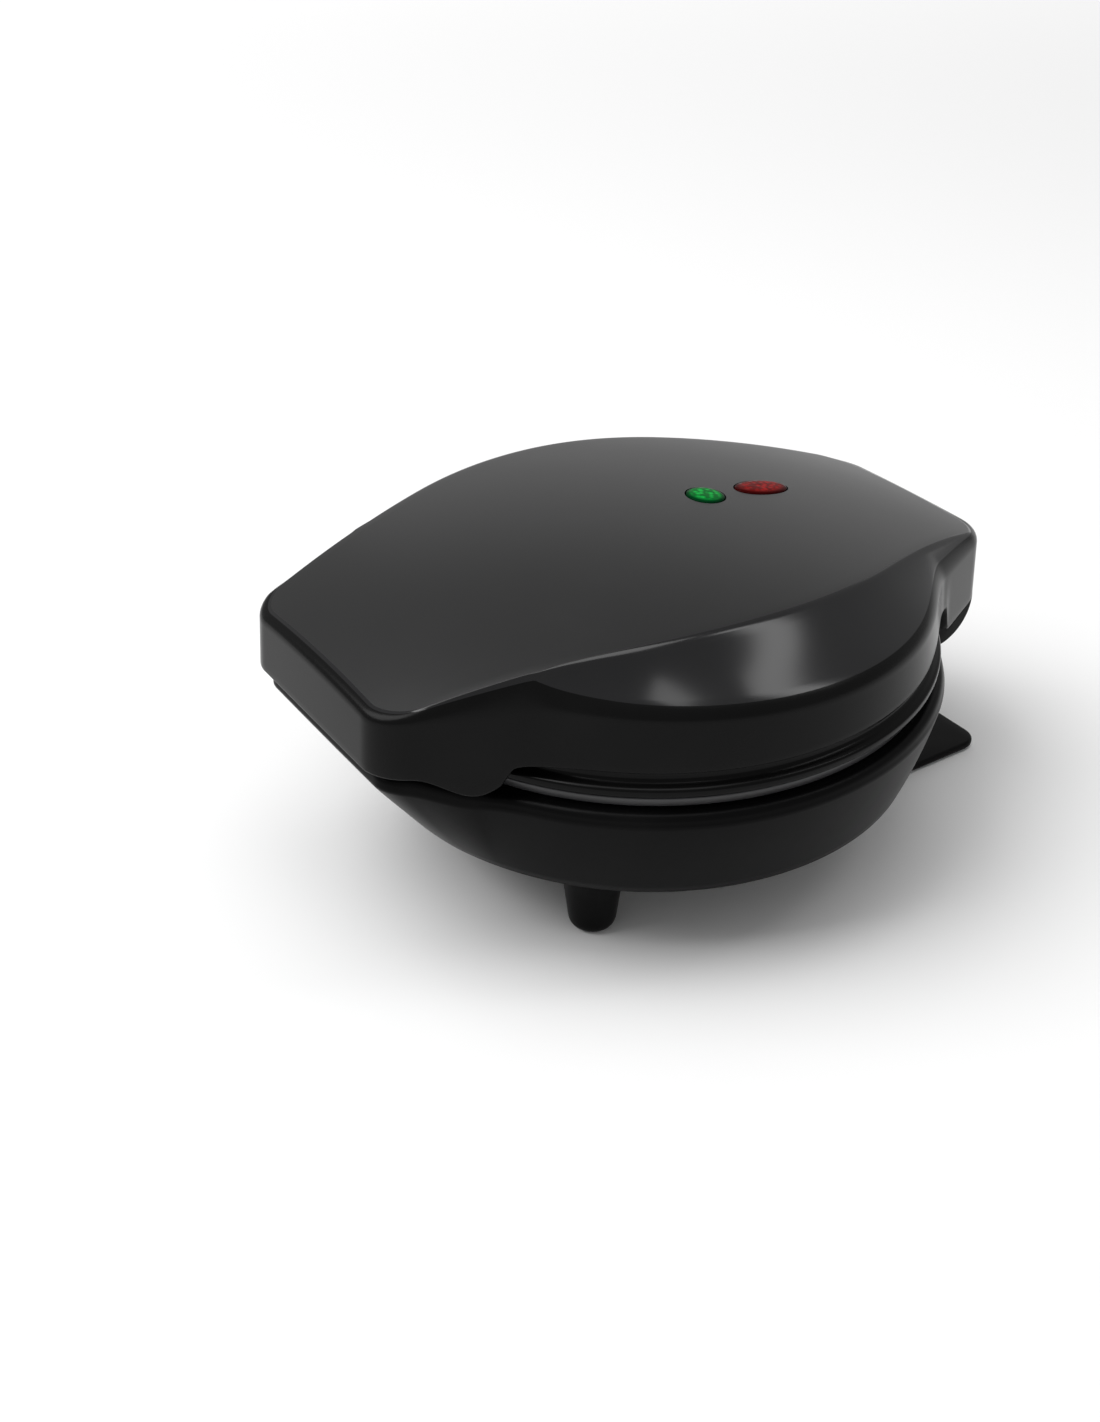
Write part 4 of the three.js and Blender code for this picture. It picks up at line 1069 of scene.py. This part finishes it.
def makeRearStand():
    low, high = boxOf("rear_stand")
    neckX, neckY, wallWidth = standShape["neckX"], standShape["neckY"], standShape["wall"]
    middle = middleOf("stand_screw_left")[1]
    plate = block("plate", low, (high.x, high.y, low.z + standShape["plate"]))
    roundUprights(plate, standShape["cornerRound"], 10)
    roundEdges(plate, standShape["plateRound"], 4, 60)
    neck = block("neck", (-neckX, middle - neckY, low.z + 0.4), (neckX, middle + neckY, high.z))
    roundUprights(neck, standShape["neckRound"], 6)
    combine(plate, neck, "UNION")
    hollow = block("hollow", (wallWidth - neckX, middle - neckY + wallWidth, -1),
                   (neckX - wallWidth, middle + neckY - wallWidth, high.z - standShape["roof"]))
    combine(plate, roundUprights(hollow, standShape["hollowRound"], 4))
    for side in ("left", "right"):
        padLow, padHigh = boxOf("stand_pad_" + side)
        seat = (padHigh.x - padLow.x) / 2 + footShape["padRoom"]
        combine(plate, bar("seat", seat, -1, 2, middleOf("stand_pad_" + side), sides=64))
        start, at = high.z - standShape["boreDepth"], middleOf("stand_screw_" + side)
        combine(plate, bar("bore", screwHoles["bore"], start, high.z + 5, at, sides=24))
    smooth(plate, 35)
    dress(plate, "body")
    return stand(plate, "rearStand", "base", "shell_satin", "rear_stand")


def makeBottomCover():
    low, high = boxOf("bottom_cover")
    radius = high.x
    rings = [(radius - 0.5, low.z), (radius, low.z + 0.5), (radius, high.z)]
    cover = turned("cover", rings, 200)
    under, over = low.z - 5, high.z + 5
    tools = []
    for node in frame["nodes"]:
        if node.startswith(("cover_screw", "foot_screw", "stand_screw")):
            tools.append(bar("hole", screwHoles["clearance"], under, over, middleOf(node), sides=24))
    half, first = ventShape["width"] / 2, -(ventShape["count"] - 1) / 2
    for k in range(ventShape["count"]):
        x = (first + k) * ventShape["step"]
        vent = block("vent", (x - half, ventShape["front"], under), (x + half, ventShape["back"], over))
        tools.append(roundUprights(vent, half - 0.05, 6))
    combine(cover, joinAll(tools))
    smooth(cover, 35)
    dress(cover, "body")
    return stand(cover, "bottomCover", "base", "shell_satin", "bottom_cover")


for footSide in ("left", "right"):
    makeFoot(footSide)
    makePad("foot_pad_" + footSide)
    makePad("stand_pad_" + footSide)
makeRearStand()
makeBottomCover()
print("feet and cover ready")


# Screws, pins and gland

screwShape = {
    "shank": 1.5, "thread": 0.28, "step": 1.1, "tip": 1.6, "tipShare": 0.7, "plain": 2.2,
    "headHeight": 1.9, "headFlat": 1.3, "headSide": 0.6, "sunkHeight": 1.3,
    "slot": 0.75, "slotReach": 1.9, "slotDepth": 1.1,
}
pinShape = {"radius": 2.5, "head": 4.4, "headHeight": 1.4, "headRound": 1.6, "chamfer": 0.6}
glandShape = {"bore": 3.3, "neck": 5, "flange": 7, "inner": 1.6, "outer": 2, "round": 0.8, "groove": 0.5}
headBelow = ("cover_screw", "lower_plate_screw", "lamp_holder_screw", "lid_rim_screw")


def makeScrew(node):
    low, high = boxOf(node)
    sunk = node.startswith("lid_rim_screw")
    length = high.z - low.z
    shank, head, crown = screwShape["shank"], (high.x - low.x) / 2, screwShape["headHeight"]
    if sunk:
        crown = screwShape["sunkHeight"]
        rings = [(head - 0.1, 0), (head, 0.15), (shank, crown)]
    else:
        flat, side = (screwShape["headFlat"], 0), (head, crown - screwShape["headSide"])
        rings = [flat] + curveThrough(flat, (head - 0.2, 0.1), side, 5)
        rings += [side, (head, crown), (shank, crown)]
    z = crown + 0.4
    while z < length - screwShape["plain"]:
        rings += [(shank, z), (shank - screwShape["thread"], z + screwShape["step"] / 2)]
        z += screwShape["step"]
    rings += [(shank, length - screwShape["tip"]), (shank * screwShape["tipShare"], length)]
    screw = turned(node, rings, 28)
    reach, half, deep = screwShape["slotReach"], screwShape["slot"] / 2, screwShape["slotDepth"]
    cross = [block("slot", (-x, -y, -1), (x, y, deep)) for x, y in ((reach, half), (half, reach))]
    combine(screw, joinAll(cross), crossing=True)
    if not node.startswith(headBelow):
        screw.data.transform(Matrix.Rotation(math.pi, 4, "X"))
    place = (low + high) / 2
    place.z = low.z if node.startswith(headBelow) else high.z
    turn = Matrix.Rotation(0.9 * len(node) + place.x, 4, "Z")
    screw.data.transform(Matrix.Translation(place * mm) @ turn)
    smooth(screw, 40)
    dress(screw, "steel")
    words = node.split("_")
    body = "lid" if node.startswith(("upper", "lid", "lamp")) else "base"
    return stand(screw, words[0] + "".join(word.title() for word in words[1:]), body, "steel", node)


def makeHingePin(side, sign):
    low, high = boxOf("hinge_pin_" + side)
    radius, head = pinShape["radius"], pinShape["head"]
    length = high.x - low.x
    crown = length - pinShape["headHeight"]
    chamfer, start, end = pinShape["chamfer"], (head, crown + 0.5), (head - pinShape["headRound"], length)
    rings = [(radius - chamfer, 0), (radius, chamfer), (radius, crown), (head, crown), start]
    rings += curveThrough(start, (head, length), end, 5) + [end]
    pin = turned("pin", rings, 48)
    turn = Matrix.Rotation(sign * math.pi / 2, 4, "Y")
    place = Vector((low.x if sign > 0 else high.x, hingeAxis.y, hingeAxis.z))
    pin.data.transform(Matrix.Translation(place * mm) @ turn)
    smooth(pin, 35)
    dress(pin, "steel")
    return stand(pin, "hingePin" + side.title(), "base", "steel", "hinge_pin_" + side)


def makeGland():
    low, high = boxOf("cord_gland")
    bore, neck, flange = glandShape["bore"], glandShape["neck"], glandShape["flange"]
    inner, outer, total = glandShape["inner"], glandShape["outer"], high.y - low.y
    shoulder = total - outer
    start, end = (flange, total - glandShape["round"]), (flange - glandShape["round"], total)
    rings = [(bore, 0), (flange - 0.4, 0), (flange, 0.4), (flange, inner), (neck, inner), (neck, shoulder)]
    rings += [(flange, shoulder), start] + curveThrough(start, (flange, total), end, 4) + [end]
    rings += [(bore + 1.5, total), (bore + 1.1, total - glandShape["groove"]), (bore + 0.7, total)]
    rings += [(bore + 0.3, total), (bore, total - 0.3), (bore, 0)]
    bush = turned("gland", rings, 64, loop=True)
    place = Matrix.Translation(Vector((0, low.y, glandZ)) * mm)
    bush.data.transform(place @ Matrix.Rotation(-math.pi / 2, 4, "X"))
    smooth(bush, 35)
    dress(bush, "rubber")
    return stand(bush, "cordGland", "base", "rubber", "cord_gland")


for node in list(frame["nodes"]):
    if "_screw" in node:
        makeScrew(node)
makeHingePin("left", -1)
makeHingePin("right", 1)
makeGland()
print("screws, pins and gland ready")


# Carried-over CAD nodes

slotFinish = {
    "shell_gloss": "wall", "shell_satin": "body", "rubber": "rubber", "coated_plate": "coating",
    "steel": "steel", "pressed_aluminium": "aluminium", "ceramic": "ceramic", "lamp_glass": "ceramic",
    "sleeving": "fibre", "green_lens": "green_lens", "red_lens": "red_lens",
}
for row in frame["record"]["subparts"]:
    node = frame["nodes"][row["node"]]
    if not node.hide_render:
        dress(node, slotFinish[row["material_slot"]])
print("frame nodes dressed")
